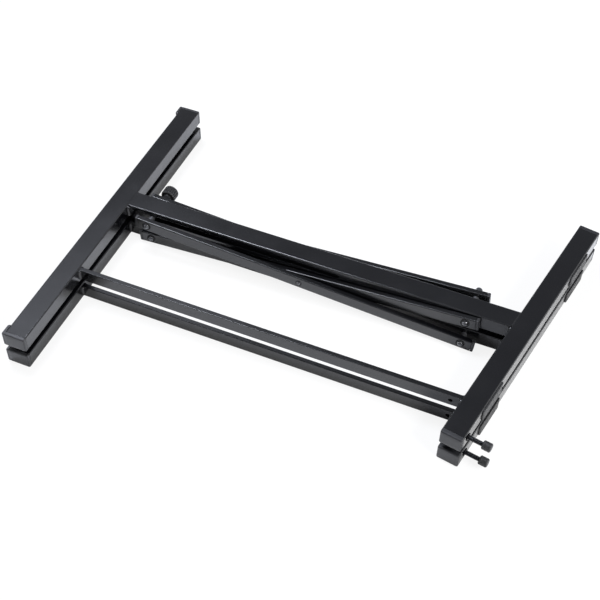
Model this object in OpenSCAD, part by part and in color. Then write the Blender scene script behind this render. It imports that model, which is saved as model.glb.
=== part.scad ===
// Folding mixer stand of black steel tube, folded and lying flat.
// Two equal frames lie one above the other. Each has a foot, a column, a tilted
// support arm and a thin brace. A scissor of four bars joins the two columns:
// each pair of bars turns on one column and slides in the long slot of the other.
// X runs along the column from the foot to the arm, Y to the rear and Z upward.

/* [Frame tubes] */
// Width of the foot, column and arm tubes
tube_w = 33.5; // [30:0.5:37]
// Height of the same tubes, across the flat stack
tube_h = 25.5; // [22:0.5:30]
// Wall of the frame tubes
wall = 1.5; // [1.2:0.1:2]
// Outer corner radius of the frame tubes
corner_r = 2; // [2:0.25:3.5]
// Gap between the two frames when folded
frame_gap = 10.7; // [9:0.1:18]

/* [Foot and column] */
// Reach of the foot in front of the column's centre line, with its cap
foot_front = 327.5; // [280:0.5:360]
// Reach of the foot behind the column's centre line, with its cap
foot_rear = 242; // [200:1:280]
// Length of the column on its centre line, from the foot to the arm
column_len = 640; // [600:5:720]
// Width of the long slot in both side walls of the column
slot_w = 9; // [8.5:0.1:11]
// Far end of the slot, from the foot's floor side
slot_end = 399.5; // [340:0.5:430]

/* [Support arm] */
// Tilt of the support arm from square to the column, in degrees
arm_tilt = 9.4; // [0:0.2:14]
// Reach of the arm in front of the column, with its cap
arm_front = 239.5; // [200:0.5:270]
// Reach of the arm behind the column, with its cap
arm_rear = 238; // [200:1:270]
// Length of each rubber pad on the arm
arm_pad_len = 63; // [50:1:90]
// Thickness of the rubber pads
arm_pad_t = 2.5; // [2:0.25:4]
// Thickness at the tips of the pads' end ramps
arm_pad_edge = 1.5; // [1:0.25:1.75]
// Middle of the front pad, from the column's centre line
front_pad_at = 145; // [110:1:160]
// Middle of the rear pad, from the column's centre line
rear_pad_at = 155; // [90:1:170]

/* [Brace] */
// Distance of the brace in front of the column's centre line
brace_at = 167.5; // [120:0.5:200]
// Thickness of the brace tube
brace_w = 7.5; // [6:0.5:10]
// Height of the brace tube
brace_h = 21; // [16:1:21]
// Wall of the brace tube
brace_wall = 1.2; // [1:0.1:1.5]
// Radius of the small hole in the brace's front wall
brace_hole_r = 3.25; // [1.5:0.25:3.5]
// Distance of that hole from the arm
brace_hole_inset = 16.5; // [12:0.5:40]

/* [Caps] */
// Length of the foot caps beyond the tube
foot_cap_t = 6; // [5.5:0.5:9]
// Length of the arm caps beyond the tube
arm_cap_t = 8; // [6:0.5:12]
// Depth of the cap's plug inside the tube
cap_plug = 8; // [5:0.5:8]
// Rounding at the caps' outer edges
cap_round = 2.5; // [2:0.25:5]
// Length of the floor pad moulded on each foot cap
floor_pad_len = 20; // [15:1:40]
// Thickness of that floor pad
floor_pad_t = 4.5; // [3:0.5:6]

/* [Stop screws] */
// Distance between the stop screw's insert and the plug of the arm's front cap
stop_clear = 0.5; // [0.5:0.1:8]
// Radius of the stop screw
stop_r = 3.5; // [2.5:0.25:4]
// Length of bare screw between the arm and its tip
stop_stem = 22.5; // [15:0.5:35]
// Radius of the rubber tip
stop_tip_r = 6.75; // [5.5:0.25:7.5]
// Length of the rubber tip
stop_tip_len = 13; // [9:1:16]

/* [Scissor bars] */
// Height of the bars
bar_h = 20; // [17:1:22]
// Thickness of the bars
bar_t = 9; // [8:0.5:12]
// Wall of the bars
bar_wall = 1.2; // [1:0.1:1.5]
// Outer corner radius of the bars
bar_corner = 1.5; // [1.25:0.25:2]
// Reach of a bar beyond its end pivots
bar_reach = 21; // [19:0.5:24]
// Length of the end plugs beyond the bar
bar_plug_t = 5; // [3:0.5:6]
// Gap between the column and the inner bar, and between two bars
side_gap = 1; // [0.8:0.1:2]
// Fixed pivot, from the foot's floor side
pivot_at = 604.5; // [560:0.5:620]
// Sliding pivot when folded, from the foot's floor side
slide_at = 76.5; // [70:0.5:90]

/* [Bolts and knob] */
// Radius of the pivot and slide bolts
bolt_r = 3; // [2.5:0.1:3.3]
// Radius of the bolt heads' flange
head_r = 7; // [6:0.25:8]
// Height of the domed button on the flange
head_h = 3; // [2.4:0.2:4]
// Width of the cap nuts across their flats
nut_flats = 12; // [9:0.5:13]
// Height of the cap nuts' six-sided part
nut_h = 6; // [4:0.5:6]
// Height of the dome on the cap nuts
nut_dome = 6; // [4:0.5:6]
// Play between the sliding bush and the edges of the slot
slide_play = 0.3; // [0.2:0.05:0.5]
// Outer radius of the spacer sleeves
sleeve_r = 5; // [4.75:0.25:6.5]
// Outer radius of the washers
washer_r = 7; // [6:0.25:8]
// Radius of the centre rivets
rivet_r = 3; // [2.5:0.25:3.5]
// Radius of the rivets' domed heads
rivet_head_r = 5; // [4.5:0.25:6]
// Radius of the clamp knob
knob_r = 12.25; // [11:0.25:14]
// Length of the knob's grip
knob_len = 17.5; // [14:0.5:24]
// Number of grooves round the grip
knob_grooves = 20; // [8:1:24]

/* [Clearances] */
// Radial play of a pin in its bore
bore_play = 0.05; // [0.02:0.01:0.1]
// Play along an axle between parts that turn on each other
turn_play = 0.2; // [0.1:0.05:0.4]

/* [Hidden] */
$fn = 48;
steel = [0.10, 0.10, 0.11];
plastic = [0.13, 0.13, 0.14];
rubber = [0.06, 0.06, 0.06];
zinc = [0.16, 0.16, 0.17];

// Frame levels and the arm's place
pitch = tube_h + frame_gap;
lower_z = tube_h / 2;
upper_z = pitch + lower_z;
half_w = tube_w / 2;
arm_x = tube_w + column_len;
flat_h = tube_h - 2 * corner_r;
brace_end = arm_x - brace_at * tan(arm_tilt);

// The scissor: both bars of a pair lie on one line between their two pivots
travel = pivot_at - slide_at;
bar_len = sqrt(travel * travel + pitch * pitch);
fold_angle = atan2(pitch, travel);
centre_x = (pivot_at + slide_at) / 2;
centre_z = (lower_z + upper_z) / 2;
slide_bush_r = slot_w / 2 - slide_play;
slot_start = slide_at - slot_w / 2 - slide_play;

// Layers beside the column, as distances from its centre plane
inner_near = half_w + side_gap;
inner_far = inner_near + bar_t;
outer_near = inner_far + side_gap;
outer_far = outer_near + bar_t;
washer_t = side_gap - turn_play;
bolt_bore = bolt_r + bore_play;
rivet_bore = rivet_r + bore_play;

// Small parts
bead_r = 3.5;
bead_short = 1;
pad_corner = 3;
pad_ramp = 3;
pad_drop = 0.3;
flange_h = 1.2;
bush_r = bolt_r + 3;
nut_r = nut_flats / 2 / cos(30);
shank_out = 4;
insert_r = stop_r + 1.2;
insert_depth = 12;
stop_inset = arm_cap_t + cap_plug + stop_clear + insert_r;
flange_r = insert_r + 1.3;
flange_t = 1;
tip_socket = 6;
tip_bevel = 1.2;
knob_hub_r = 7;
knob_hub_len = 8;
knob_base_r = 8.5;
knob_rim = 3;
knob_floor = 8;
groove_r = 1.1;
plug_rib = 1.2;
plug_play = 0.1;
rib_depth = 0.8;
bolt_end = knob_hub_len + knob_len - knob_floor;

// The rear corner of the arm's cap reaches furthest along X
arm_tip = arm_x + (tube_w - cap_round) * cos(arm_tilt)
    + (arm_rear - cap_round) * sin(arm_tilt) + cap_round;
mid_x = (arm_tip - floor_pad_t) / 2;
mid_y = (foot_rear - foot_front) / 2;

// Placing
module at_level(z) translate([-mid_x, -mid_y, z]) children();
module lower() at_level(lower_z) children();
module upper() at_level(upper_z) children();
module on_arm() translate([arm_x, 0, 0]) rotate([0, 0, -arm_tilt]) children();
module at_stop() on_arm() translate([tube_w, stop_inset - arm_front, 0]) rotate([0, 90, 0]) children();
module along_y() rotate([-90, 0, 0]) children();
module along_x() rotate([90, 0, 90]) children();
module on_pivot(x) translate([x, 0, 0]) along_y() children();

// Shapes
module rounded_rect(w, h, r) {
    square([w - 2 * r, h], center = true);
    square([w, h - 2 * r], center = true);
    for (x = [-1, 1], y = [-1, 1])
        translate([x * (w / 2 - r), y * (h / 2 - r)]) circle(r);
}

module tube(len, w, h, r, t) {
    linear_extrude(len) difference() {
        rounded_rect(w, h, r);
        rounded_rect(w - 2 * t, h - 2 * t, r - t * 0.6);
    }
}

module ring(r, bore, len) {
    difference() {
        cylinder(r = r, h = len);
        translate([0, 0, -1]) cylinder(r = bore, h = len + 2);
    }
}

module dome(r, h) {
    ball_r = (r * r + h * h) / (2 * h);
    intersection() {
        cylinder(r = r, h = h);
        translate([0, 0, h - ball_r]) sphere(ball_r, $fn = 96);
    }
}

module slot_cut() {
    slot_mid = slot_start + slot_w / 2;
    slot_run = slot_end - slot_w / 2 - slot_mid;
    for (x = [0, slot_run])
        translate([slot_mid + x, -tube_w, 0]) along_y() cylinder(d = slot_w, h = 2 * tube_w);
    translate([slot_mid, -tube_w, -slot_w / 2]) cube([slot_run, 2 * tube_w, slot_w]);
}

module arm_block() {
    on_arm() translate([0, -2 * arm_front, -tube_h]) cube([2 * tube_w, 4 * arm_front, 2 * tube_h]);
}

// Flat outline of a cap seen square on: its two outer corners are rounded
module cap_outline(w, len, r) {
    translate([-w / 2, 0]) square([w, len - r]);
    translate([r - w / 2, 0]) square([w - 2 * r, len]);
    for (x = [-1, 1]) translate([x * (w / 2 - r), len - r]) circle(r);
}

// A cap's visible end, along +Y from the tube's end, rounded all round
module cap_head(w, h, len, r, edge_r) {
    intersection() {
        along_y() linear_extrude(len) rounded_rect(w, h, edge_r);
        linear_extrude(h + 2, center = true) cap_outline(w, len, r);
        rotate([0, 90, 0]) linear_extrude(w + 2, center = true) cap_outline(h, len, r);
    }
}

// The ribbed plug behind it, along -Y into the tube
module cap_plug_body(w, h, t, r, depth, into) {
    in_w = w - 2 * t - 2 * plug_play;
    in_h = h - 2 * t - 2 * plug_play;
    in_r = r - t * 0.6;
    translate([0, -depth, 0]) along_y()
        linear_extrude(depth + into) rounded_rect(in_w - 2 * rib_depth, in_h - 2 * rib_depth, in_r);
    for (k = [0, 1])
        translate([0, -depth + k * depth / 2, 0]) along_y()
            linear_extrude(plug_rib) rounded_rect(in_w, in_h, in_r);
}

// Frame pieces, drawn with the frame's middle plane at Z = 0
module foot_tube() {
    color(steel) translate([half_w, foot_cap_t - foot_front, 0]) along_y()
        tube(foot_front + foot_rear - 2 * foot_cap_t, tube_w, tube_h, corner_r, wall);
}

module foot_cap() {
    pad_h = tube_h - 2 * pad_drop;
    pad_w = floor_pad_t + cap_round + 4;
    cap_head(tube_w, tube_h, foot_cap_t, cap_round, corner_r);
    cap_plug_body(tube_w, tube_h, wall, corner_r, cap_plug, foot_cap_t / 2);
    intersection() {
        translate([0, 0, -pad_h / 2]) linear_extrude(pad_h) polygon([
            [-half_w, 0],
            [-half_w, foot_cap_t - floor_pad_len],
            [1 - half_w - floor_pad_t, foot_cap_t - floor_pad_len],
            [-half_w - floor_pad_t, foot_cap_t - floor_pad_len + 2],
            [-half_w - floor_pad_t, foot_cap_t - 2],
            [1 - half_w - floor_pad_t, foot_cap_t - 0.5],
            [cap_round - half_w, foot_cap_t - 0.5],
            [cap_round - half_w, 0]
        ]);
        translate([pad_w / 2 - half_w - floor_pad_t, foot_cap_t - floor_pad_len - 1, 0]) along_y()
            linear_extrude(floor_pad_len + 2) rounded_rect(pad_w, pad_h, corner_r);
    }
}

module foot_caps() {
    color(plastic) {
        translate([half_w, foot_rear - foot_cap_t, 0]) foot_cap();
        translate([half_w, foot_cap_t - foot_front, 0]) mirror([0, 1, 0]) foot_cap();
    }
}

module column_tube() {
    color(steel) difference() {
        translate([tube_w, 0, 0]) along_x()
            tube(column_len + half_w, tube_w, tube_h, corner_r, wall);
        arm_block();
        slot_cut();
        translate([pivot_at, -tube_w, 0]) along_y() cylinder(r = bolt_bore, h = 2 * tube_w);
    }
}

module arm_tube() {
    color(steel) difference() {
        on_arm() translate([half_w, arm_cap_t - arm_front, 0]) along_y()
            tube(arm_front + arm_rear - 2 * arm_cap_t, tube_w, tube_h, corner_r, wall);
        at_stop() translate([0, 0, -half_w]) cylinder(r = insert_r, h = tube_w);
    }
}

module arm_cap() {
    cap_head(tube_w, tube_h, arm_cap_t, cap_round, corner_r);
    cap_plug_body(tube_w, tube_h, wall, corner_r, cap_plug, arm_cap_t / 2);
}

module arm_caps() {
    color(plastic) on_arm() {
        translate([half_w, arm_rear - arm_cap_t, 0]) arm_cap();
        translate([half_w, arm_cap_t - arm_front, 0]) mirror([0, 1, 0]) arm_cap();
    }
}

// Side view of a pad: a strip with a short ramp at each end
module pad_outline() {
    half_len = arm_pad_len / 2;
    polygon([
        [0, -half_len],
        [arm_pad_edge, -half_len],
        [arm_pad_t, pad_ramp - half_len],
        [arm_pad_t, half_len - pad_ramp],
        [arm_pad_edge, half_len],
        [0, half_len]
    ]);
}

module arm_pads() {
    color(rubber) on_arm()
        for (y = [-front_pad_at, rear_pad_at])
            translate([tube_w, y, 0]) intersection() {
                translate([0, 0, -flat_h / 2]) linear_extrude(flat_h) pad_outline();
                along_x() linear_extrude(arm_pad_t + 1) rounded_rect(arm_pad_len, flat_h, pad_corner);
            }
}

module brace() {
    color(steel) difference() {
        translate([tube_w, -brace_at, 0]) along_x()
            tube(brace_end - tube_w + brace_w, brace_w, brace_h, bar_corner, brace_wall);
        arm_block();
        translate([brace_end - brace_hole_inset, -brace_at - brace_w, 0]) along_y()
            cylinder(r = brace_hole_r, h = brace_w);
    }
}

// Fillet beads fill the upright corners where a tube of width w meets the foot and the arm
module corner_beads(y_mid, w, len) {
    for (side = [-1, 1], far = [0, 1]) {
        y = y_mid + side * w / 2;
        x = far == 0 ? tube_w : arm_x + y * tan(arm_tilt);
        difference() {
            translate([x, y, 0]) cylinder(r = bead_r, h = len, center = true);
            translate([0, y_mid - w / 2, -tube_h]) cube([2 * arm_x, w, 2 * tube_h]);
            translate([0, y - tube_w, -tube_h]) cube([tube_w, 2 * tube_w, 2 * tube_h]);
            arm_block();
        }
    }
}

module weld_beads() {
    color(steel) {
        corner_beads(0, tube_w, flat_h - bead_short);
        corner_beads(-brace_at, brace_w, brace_h - 2 * bar_corner);
    }
}

module stop_insert() {
    color(zinc) at_stop() difference() {
        union() {
            translate([0, 0, -insert_depth]) cylinder(r = insert_r, h = insert_depth + flange_t);
            cylinder(r = flange_r, h = flange_t);
        }
        translate([0, 0, -tube_w]) cylinder(r = stop_r + bore_play, h = 2 * tube_w);
    }
}

module stop_screw() {
    color(zinc) at_stop() translate([0, 0, 1 - insert_depth])
        cylinder(r = stop_r, h = insert_depth - 1 + stop_stem + tip_socket);
}

module stop_tip() {
    color(rubber) at_stop() translate([0, 0, stop_stem]) rotate_extrude() polygon([
        [stop_r + bore_play, 0],
        [stop_tip_r - tip_bevel, 0],
        [stop_tip_r, tip_bevel],
        [stop_tip_r, stop_tip_len - tip_bevel],
        [stop_tip_r - tip_bevel, stop_tip_len],
        [0, stop_tip_len],
        [0, tip_socket + bore_play],
        [stop_r + bore_play, tip_socket + bore_play]
    ]);
}

// Pivot hardware, drawn along Y through the column at the fixed pivot
module pivot_bush() {
    color(zinc) on_pivot(pivot_at) translate([0, 0, wall - half_w])
        ring(bush_r, bolt_bore, tube_w - 2 * wall);
}

// A bolt whose flanged button head sits in front at front_y; its shank ends behind at rear_y
module headed_bolt(front_y, rear_y) {
    color(zinc) translate([0, 0, -front_y]) {
        cylinder(r = bolt_r, h = front_y + rear_y);
        mirror([0, 0, 1]) {
            cylinder(r = head_r, h = flange_h);
            cylinder(r = head_r - 1.2, h = flange_h + 0.4);
            translate([0, 0, flange_h + 0.4]) dome(head_r - 1.2, head_h - 0.4);
        }
    }
}

module cap_nut(seat_y) {
    color(zinc) translate([0, 0, seat_y]) difference() {
        union() {
            cylinder(r = nut_r, h = nut_h, $fn = 6);
            translate([0, 0, nut_h]) dome(nut_flats / 2 - 0.2, nut_dome);
        }
        translate([0, 0, -1]) cylinder(r = bolt_bore, h = shank_out + 1 + bore_play);
    }
}

module pivot_spacers(front_near, rear_near) {
    color(zinc) on_pivot(pivot_at) {
        for (gap = [[-1, front_near], [1, rear_near]]) {
            len = gap[1] - turn_play - half_w;
            r = len > side_gap ? sleeve_r : washer_r;
            translate([0, 0, gap[0] < 0 ? -half_w - len : half_w]) ring(r, bolt_bore, len);
        }
    }
}

// The same rings on a sliding bolt: they sit against the bars and clear the column
module slide_spacers(front_near, rear_near) {
    color(zinc) on_pivot(slide_at) {
        for (gap = [[-1, front_near], [1, rear_near]]) {
            len = gap[1] - turn_play - half_w;
            r = len > side_gap ? sleeve_r : washer_r;
            translate([0, 0, gap[0] < 0 ? -gap[1] : gap[1] - len]) ring(r, bolt_bore, len);
        }
    }
}

// Scissor bars, drawn from the sliding pivot at X = 0 to the fixed pivot
module bar_place(y, up) {
    translate([slide_at, y, 0]) rotate([0, up ? -fold_angle : fold_angle, 0]) children();
}

module bar() {
    color(steel) difference() {
        translate([bar_plug_t - bar_reach, 0, 0]) along_x()
            tube(bar_len + 2 * (bar_reach - bar_plug_t), bar_t, bar_h, bar_corner, bar_wall);
        for (x = [0, bar_len])
            translate([x, -bar_t, 0]) along_y() cylinder(r = bolt_bore, h = 2 * bar_t);
        translate([bar_len / 2, -bar_t, 0]) along_y() cylinder(r = rivet_bore, h = 2 * bar_t);
    }
}

module bar_plugs() {
    color(plastic) for (end = [0, 1])
        translate([end * bar_len, 0, 0]) rotate([0, 0, end == 0 ? 90 : -90])
            translate([0, bar_reach - bar_plug_t, 0]) {
                cap_head(bar_t, bar_h, bar_plug_t, 2.2, bar_corner);
                cap_plug_body(bar_t, bar_h, bar_wall, bar_corner, cap_plug, 1);
            }
}

// Bush round a sliding bolt, which guides it between the edges of the two slots
module slide_bush() {
    color(zinc) on_pivot(slide_at) translate([0, 0, -half_w])
        ring(slide_bush_r, bolt_bore, tube_w);
}

// Centre rivet from the outer bar's face to the inner bar's back, along +Z inward
module centre_rivet() {
    color(zinc) {
        translate([0, 0, -outer_far]) cylinder(r = rivet_r, h = outer_far - inner_near + turn_play);
        translate([0, 0, -outer_far]) mirror([0, 0, 1]) dome(rivet_head_r, 2.4);
        translate([0, 0, turn_play - inner_near])
            cylinder(r = rivet_head_r, h = side_gap - 2 * turn_play);
    }
}

module centre_washer() {
    color(zinc) translate([0, 0, -outer_near]) ring(washer_r, rivet_bore, washer_t);
}

module at_centre(front) {
    at_level(centre_z) translate([centre_x, 0, 0]) rotate([front ? -90 : 90, 0, 0]) children();
}

module upper_slide_spacers() {
    slide_spacers(outer_near, inner_near);
    color(zinc) on_pivot(slide_at) translate([0, 0, inner_far]) ring(washer_r, bolt_bore, side_gap);
}

module clamp_knob() {
    hub_y = inner_far + side_gap + turn_play;
    grip_end = knob_hub_len + knob_len;
    color(plastic) upper() on_pivot(slide_at) translate([0, 0, hub_y]) difference() {
        union() {
            rotate_extrude() union() {
                square([knob_hub_r, grip_end]);
                translate([0, knob_hub_len + knob_rim]) square([knob_r, knob_len - 2 * knob_rim]);
                translate([0, knob_hub_len]) square([knob_r - knob_rim, knob_len]);
                for (y = [knob_hub_len + knob_rim, grip_end - knob_rim])
                    translate([knob_r - knob_rim, y]) circle(knob_rim);
                polygon([[0, 0], [knob_base_r, 0], [knob_base_r, 1.2], [knob_hub_r, 3.5], [0, 3.5]]);
            }
        }
        for (k = [0 : knob_grooves - 1])
            rotate(360 / knob_grooves * k) translate([knob_r + groove_r / 2, 0, knob_hub_len - 1])
                cylinder(r = groove_r, h = knob_len + 2);
        translate([0, 0, -1]) cylinder(r = bolt_bore, h = bolt_end + 1 + bore_play);
    }
}

lower() foot_tube();  // lower_foot_tube
lower() foot_caps();  // lower_foot_caps
lower() column_tube();  // lower_column_tube
lower() arm_tube();  // lower_arm_tube
lower() arm_caps();  // lower_arm_caps
lower() arm_pads();  // lower_arm_pads
lower() brace();  // lower_brace
lower() weld_beads();  // lower_weld_beads
lower() stop_insert();  // lower_stop_insert
lower() stop_screw();  // lower_stop_screw
lower() stop_tip();  // lower_stop_tip
lower() pivot_bush();  // lower_pivot_bush
lower() on_pivot(pivot_at) headed_bolt(outer_far + turn_play, inner_far + turn_play + shank_out);  // lower_pivot_bolt
lower() on_pivot(pivot_at) cap_nut(inner_far + turn_play);  // lower_pivot_nut
lower() pivot_spacers(outer_near, inner_near);  // lower_pivot_spacers

upper() foot_tube();  // upper_foot_tube
upper() foot_caps();  // upper_foot_caps
upper() column_tube();  // upper_column_tube
upper() arm_tube();  // upper_arm_tube
upper() arm_caps();  // upper_arm_caps
upper() arm_pads();  // upper_arm_pads
upper() brace();  // upper_brace
upper() weld_beads();  // upper_weld_beads
upper() stop_insert();  // upper_stop_insert
upper() stop_screw();  // upper_stop_screw
upper() stop_tip();  // upper_stop_tip
upper() pivot_bush();  // upper_pivot_bush
upper() on_pivot(pivot_at) headed_bolt(inner_far + turn_play, outer_far + turn_play + shank_out);  // upper_pivot_bolt
upper() on_pivot(pivot_at) cap_nut(outer_far + turn_play);  // upper_pivot_nut
upper() pivot_spacers(inner_near, outer_near);  // upper_pivot_spacers

// The first pair turns on the lower column and slides in the upper one
upper() bar_place(-outer_near - bar_t / 2, false) bar();  // front_outer_bar
upper() bar_place(-outer_near - bar_t / 2, false) bar_plugs();  // front_outer_bar_plugs
upper() bar_place(inner_near + bar_t / 2, false) bar();  // rear_inner_bar
upper() bar_place(inner_near + bar_t / 2, false) bar_plugs();  // rear_inner_bar_plugs

// The second pair turns on the upper column and slides in the lower one
lower() bar_place(-inner_near - bar_t / 2, true) bar();  // front_inner_bar
lower() bar_place(-inner_near - bar_t / 2, true) bar_plugs();  // front_inner_bar_plugs
lower() bar_place(outer_near + bar_t / 2, true) bar();  // rear_outer_bar
lower() bar_place(outer_near + bar_t / 2, true) bar_plugs();  // rear_outer_bar_plugs

upper() on_pivot(slide_at) headed_bolt(outer_far, inner_far + side_gap + turn_play + bolt_end);  // upper_slide_bolt
upper() slide_bush();  // upper_slide_bush
upper() upper_slide_spacers();
lower() on_pivot(slide_at) headed_bolt(inner_far, outer_far + shank_out);  // lower_slide_bolt
lower() slide_bush();  // lower_slide_bush
lower() on_pivot(slide_at) cap_nut(outer_far);  // lower_slide_nut
lower() slide_spacers(inner_near, outer_near);  // lower_slide_spacers
at_centre(true) centre_rivet();  // front_centre_rivet
at_centre(true) centre_washer();  // front_centre_washer
at_centre(false) centre_rivet();  // rear_centre_rivet
at_centre(false) centre_washer();  // rear_centre_washer
clamp_knob();
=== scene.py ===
"""Dresses a folding mixer stand: two black steel frames, the scissor between them, its knob and its stops."""

import logging
import math
from collections.abc import Callable, Sequence
from dataclasses import dataclass, field
from enum import Enum
from typing import ClassVar

import bmesh
import bpy
from mathutils import Matrix, Vector, noise


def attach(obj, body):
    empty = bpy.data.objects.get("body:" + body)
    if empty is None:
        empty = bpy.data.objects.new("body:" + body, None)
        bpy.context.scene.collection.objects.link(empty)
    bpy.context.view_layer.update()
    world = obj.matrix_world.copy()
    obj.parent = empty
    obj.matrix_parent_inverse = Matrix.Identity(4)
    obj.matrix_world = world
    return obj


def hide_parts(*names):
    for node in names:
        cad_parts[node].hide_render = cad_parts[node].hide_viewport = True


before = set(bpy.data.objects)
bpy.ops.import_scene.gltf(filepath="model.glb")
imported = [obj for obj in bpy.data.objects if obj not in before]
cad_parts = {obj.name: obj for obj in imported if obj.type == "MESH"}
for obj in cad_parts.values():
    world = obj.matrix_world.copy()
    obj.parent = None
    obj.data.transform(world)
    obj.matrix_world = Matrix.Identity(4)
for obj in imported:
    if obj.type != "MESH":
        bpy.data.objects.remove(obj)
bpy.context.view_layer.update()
MM = 0.001
INNER_TIGHTER = 0.6
EDGE_BREAK = 0.25
CROWN_ANGLE = 4
ROUND_STEPS = 56
WHITE = (1.0, 1.0, 1.0)
COOL_WHITE = (0.92, 0.96, 1.08)
HIDDEN_SLEEVES = ("lower_pivot_bush", "upper_pivot_bush", "lower_slide_bush", "upper_slide_bush")

log = logging.getLogger("mixer_stand")

Flat = tuple[float, float]
Point = tuple[float, float, float]
Colour = tuple[float, float, float]


class Side(Enum):
    """The two frames, by their place in the folded stack."""

    LOWER = "lower"
    UPPER = "upper"


class End(Enum):
    """The two ends of a tube that runs front to rear, with the sign of Y there."""

    FRONT = -1
    REAR = 1


class Slot(Enum):
    """The record's material slots."""

    FRAME = "black_steel"
    BARS = "bar_steel"
    CAPS = "cap_plastic"
    KNOB = "knob_plastic"
    RUBBER = "pad_rubber"
    HARDWARE = "black_zinc"


@dataclass(frozen=True)
class Layout:
    """Measures that several sub-assemblies share, in millimetres.

    X starts at the feet's floor side, Y at the columns' centre line and Z at a frame's middle plane.
    """

    tube_w: float = 33.5
    tube_h: float = 25.5
    wall: float = 1.5
    corner: float = 2.0
    frame_gap: float = 10.7
    foot_front: float = 327.5
    foot_rear: float = 242.0
    foot_cap_t: float = 6.0
    column_len: float = 640.0
    arm_tilt: float = math.radians(9.4)
    arm_front: float = 239.5
    arm_rear: float = 238.0
    arm_cap_t: float = 8.0
    stop_inset: float = 21.2
    insert_r: float = 4.7
    pivot_at: float = 604.5
    slide_at: float = 76.5
    mid_x: float = 370.2735
    mid_y: float = -42.75
    bar_h: float = 20.0
    bar_t: float = 9.0
    side_gap: float = 1.0
    turn_play: float = 0.2
    bolt_r: float = 3.0
    bore_r: float = 3.05

    @property
    def half_w(self) -> float:
        """Half the width of a frame tube."""
        return self.tube_w / 2

    @property
    def arm_x(self) -> float:
        """Where the column's centre line meets the arm."""
        return self.tube_w + self.column_len

    @property
    def flat_h(self) -> float:
        """Height of the flat part of a frame tube's side."""
        return self.tube_h - 2 * self.corner

    @property
    def pitch(self) -> float:
        """Distance between the two frames' middle planes."""
        return self.tube_h + self.frame_gap

    @property
    def bar_len(self) -> float:
        """Distance between a bar's two end pivots."""
        return math.hypot(self.pivot_at - self.slide_at, self.pitch)

    @property
    def fold_angle(self) -> float:
        """Slope of the bars in the folded stack."""
        return math.atan2(self.pitch, self.pivot_at - self.slide_at)

    @property
    def inner_near(self) -> float:
        """Near side of the inner bars, from the columns' centre plane."""
        return self.half_w + self.side_gap

    @property
    def inner_far(self) -> float:
        """Far side of the inner bars."""
        return self.inner_near + self.bar_t

    @property
    def outer_near(self) -> float:
        """Near side of the outer bars."""
        return self.inner_far + self.side_gap

    @property
    def outer_far(self) -> float:
        """Far side of the outer bars."""
        return self.outer_near + self.bar_t

    def arm_plane(self, y: float) -> float:
        """X of the arm's inner side at a given Y."""
        return self.arm_x + y * math.tan(self.arm_tilt)

    def middle(self, side: Side) -> float:
        """Height of a frame's middle plane above the ground."""
        return self.tube_h / 2 + (self.pitch if side is Side.UPPER else 0.0)

    def at_level(self, z: float) -> Matrix:
        """Placement of the stand's own axes at a height, in the shared frame."""
        return Matrix.Translation((-self.mid_x, -self.mid_y, z))

    def at_frame(self, side: Side) -> Matrix:
        """Placement of one frame."""
        return self.at_level(self.middle(side))

    def on_arm(self) -> Matrix:
        """Placement of the arm's axes in its frame."""
        turn = Matrix.Rotation(-self.arm_tilt, 4, "Z")
        return Matrix.Translation((self.arm_x, 0, 0)) @ turn

    def on_pivot(self, x: float) -> Matrix:
        """Placement of an axle that runs to the rear through the column at X."""
        return Matrix.Translation((x, 0, 0)) @ Matrix.Rotation(-math.pi / 2, 4, "X")

    def on_stop(self) -> Matrix:
        """Placement of the stop screw's axis on the arm's outer side, in the arm's axes."""
        outward = Matrix.Translation((self.tube_w, self.stop_inset - self.arm_front, 0))
        return outward @ Matrix.Rotation(math.pi / 2, 4, "Y")


LAYOUT = Layout()
IN_PLACE = Matrix.Identity(4)
FACING_FRONT = Matrix.Rotation(math.pi / 2, 4, "X")


def rounded_section(width: float, height: float, radius: float, steps: int = 8) -> list[Flat]:
    """Outline of a rectangle with round corners.

    Args:
        width: its size along the first axis.
        height: its size along the second axis.
        radius: the corners' radius.
        steps: straight pieces in each corner.

    Returns:
        Its points, counter-clockwise.
    """
    radius = max(min(radius, width / 2 - 1e-3, height / 2 - 1e-3), 1e-3)
    points = []
    for quarter, (su, sv) in enumerate(((1, 1), (-1, 1), (-1, -1), (1, -1))):
        for k in range(steps + 1):
            angle = math.pi / 2 * (quarter + k / steps)
            u = su * (width / 2 - radius) + radius * math.cos(angle)
            v = sv * (height / 2 - radius) + radius * math.sin(angle)
            points.append((u, v))
    return points


def arc(centre: Flat, radius: float, start: float, stop: float, steps: int) -> list[Flat]:
    """Points on a circular arc.

    Args:
        centre: the circle's centre.
        radius: its radius.
        start: angle of the first point, in degrees.
        stop: angle of the last point, in degrees.
        steps: straight pieces along the arc.

    Returns:
        The arc's points in order.
    """
    points = []
    for k in range(steps + 1):
        angle = math.radians(start + (stop - start) * k / steps)
        points.append((centre[0] + radius * math.cos(angle), centre[1] + radius * math.sin(angle)))
    return points


def tube_outlines(width: float, height: float, corner: float, wall: float, steps: int = 8) -> list[list[Flat]]:
    """Outer and inner outline of a drawn tube, whose inner corners are tighter than its outer ones.

    Args:
        width: the tube's size along the first axis.
        height: its size along the second axis.
        corner: radius of its outer corners.
        wall: thickness of its wall.
        steps: straight pieces in each corner.

    Returns:
        The outer and the inner outline, with equally many points.
    """
    outer = rounded_section(width, height, corner, steps)
    inner = rounded_section(width - 2 * wall, height - 2 * wall, corner - INNER_TIGHTER * wall, steps)
    return [outer, inner]


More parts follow.
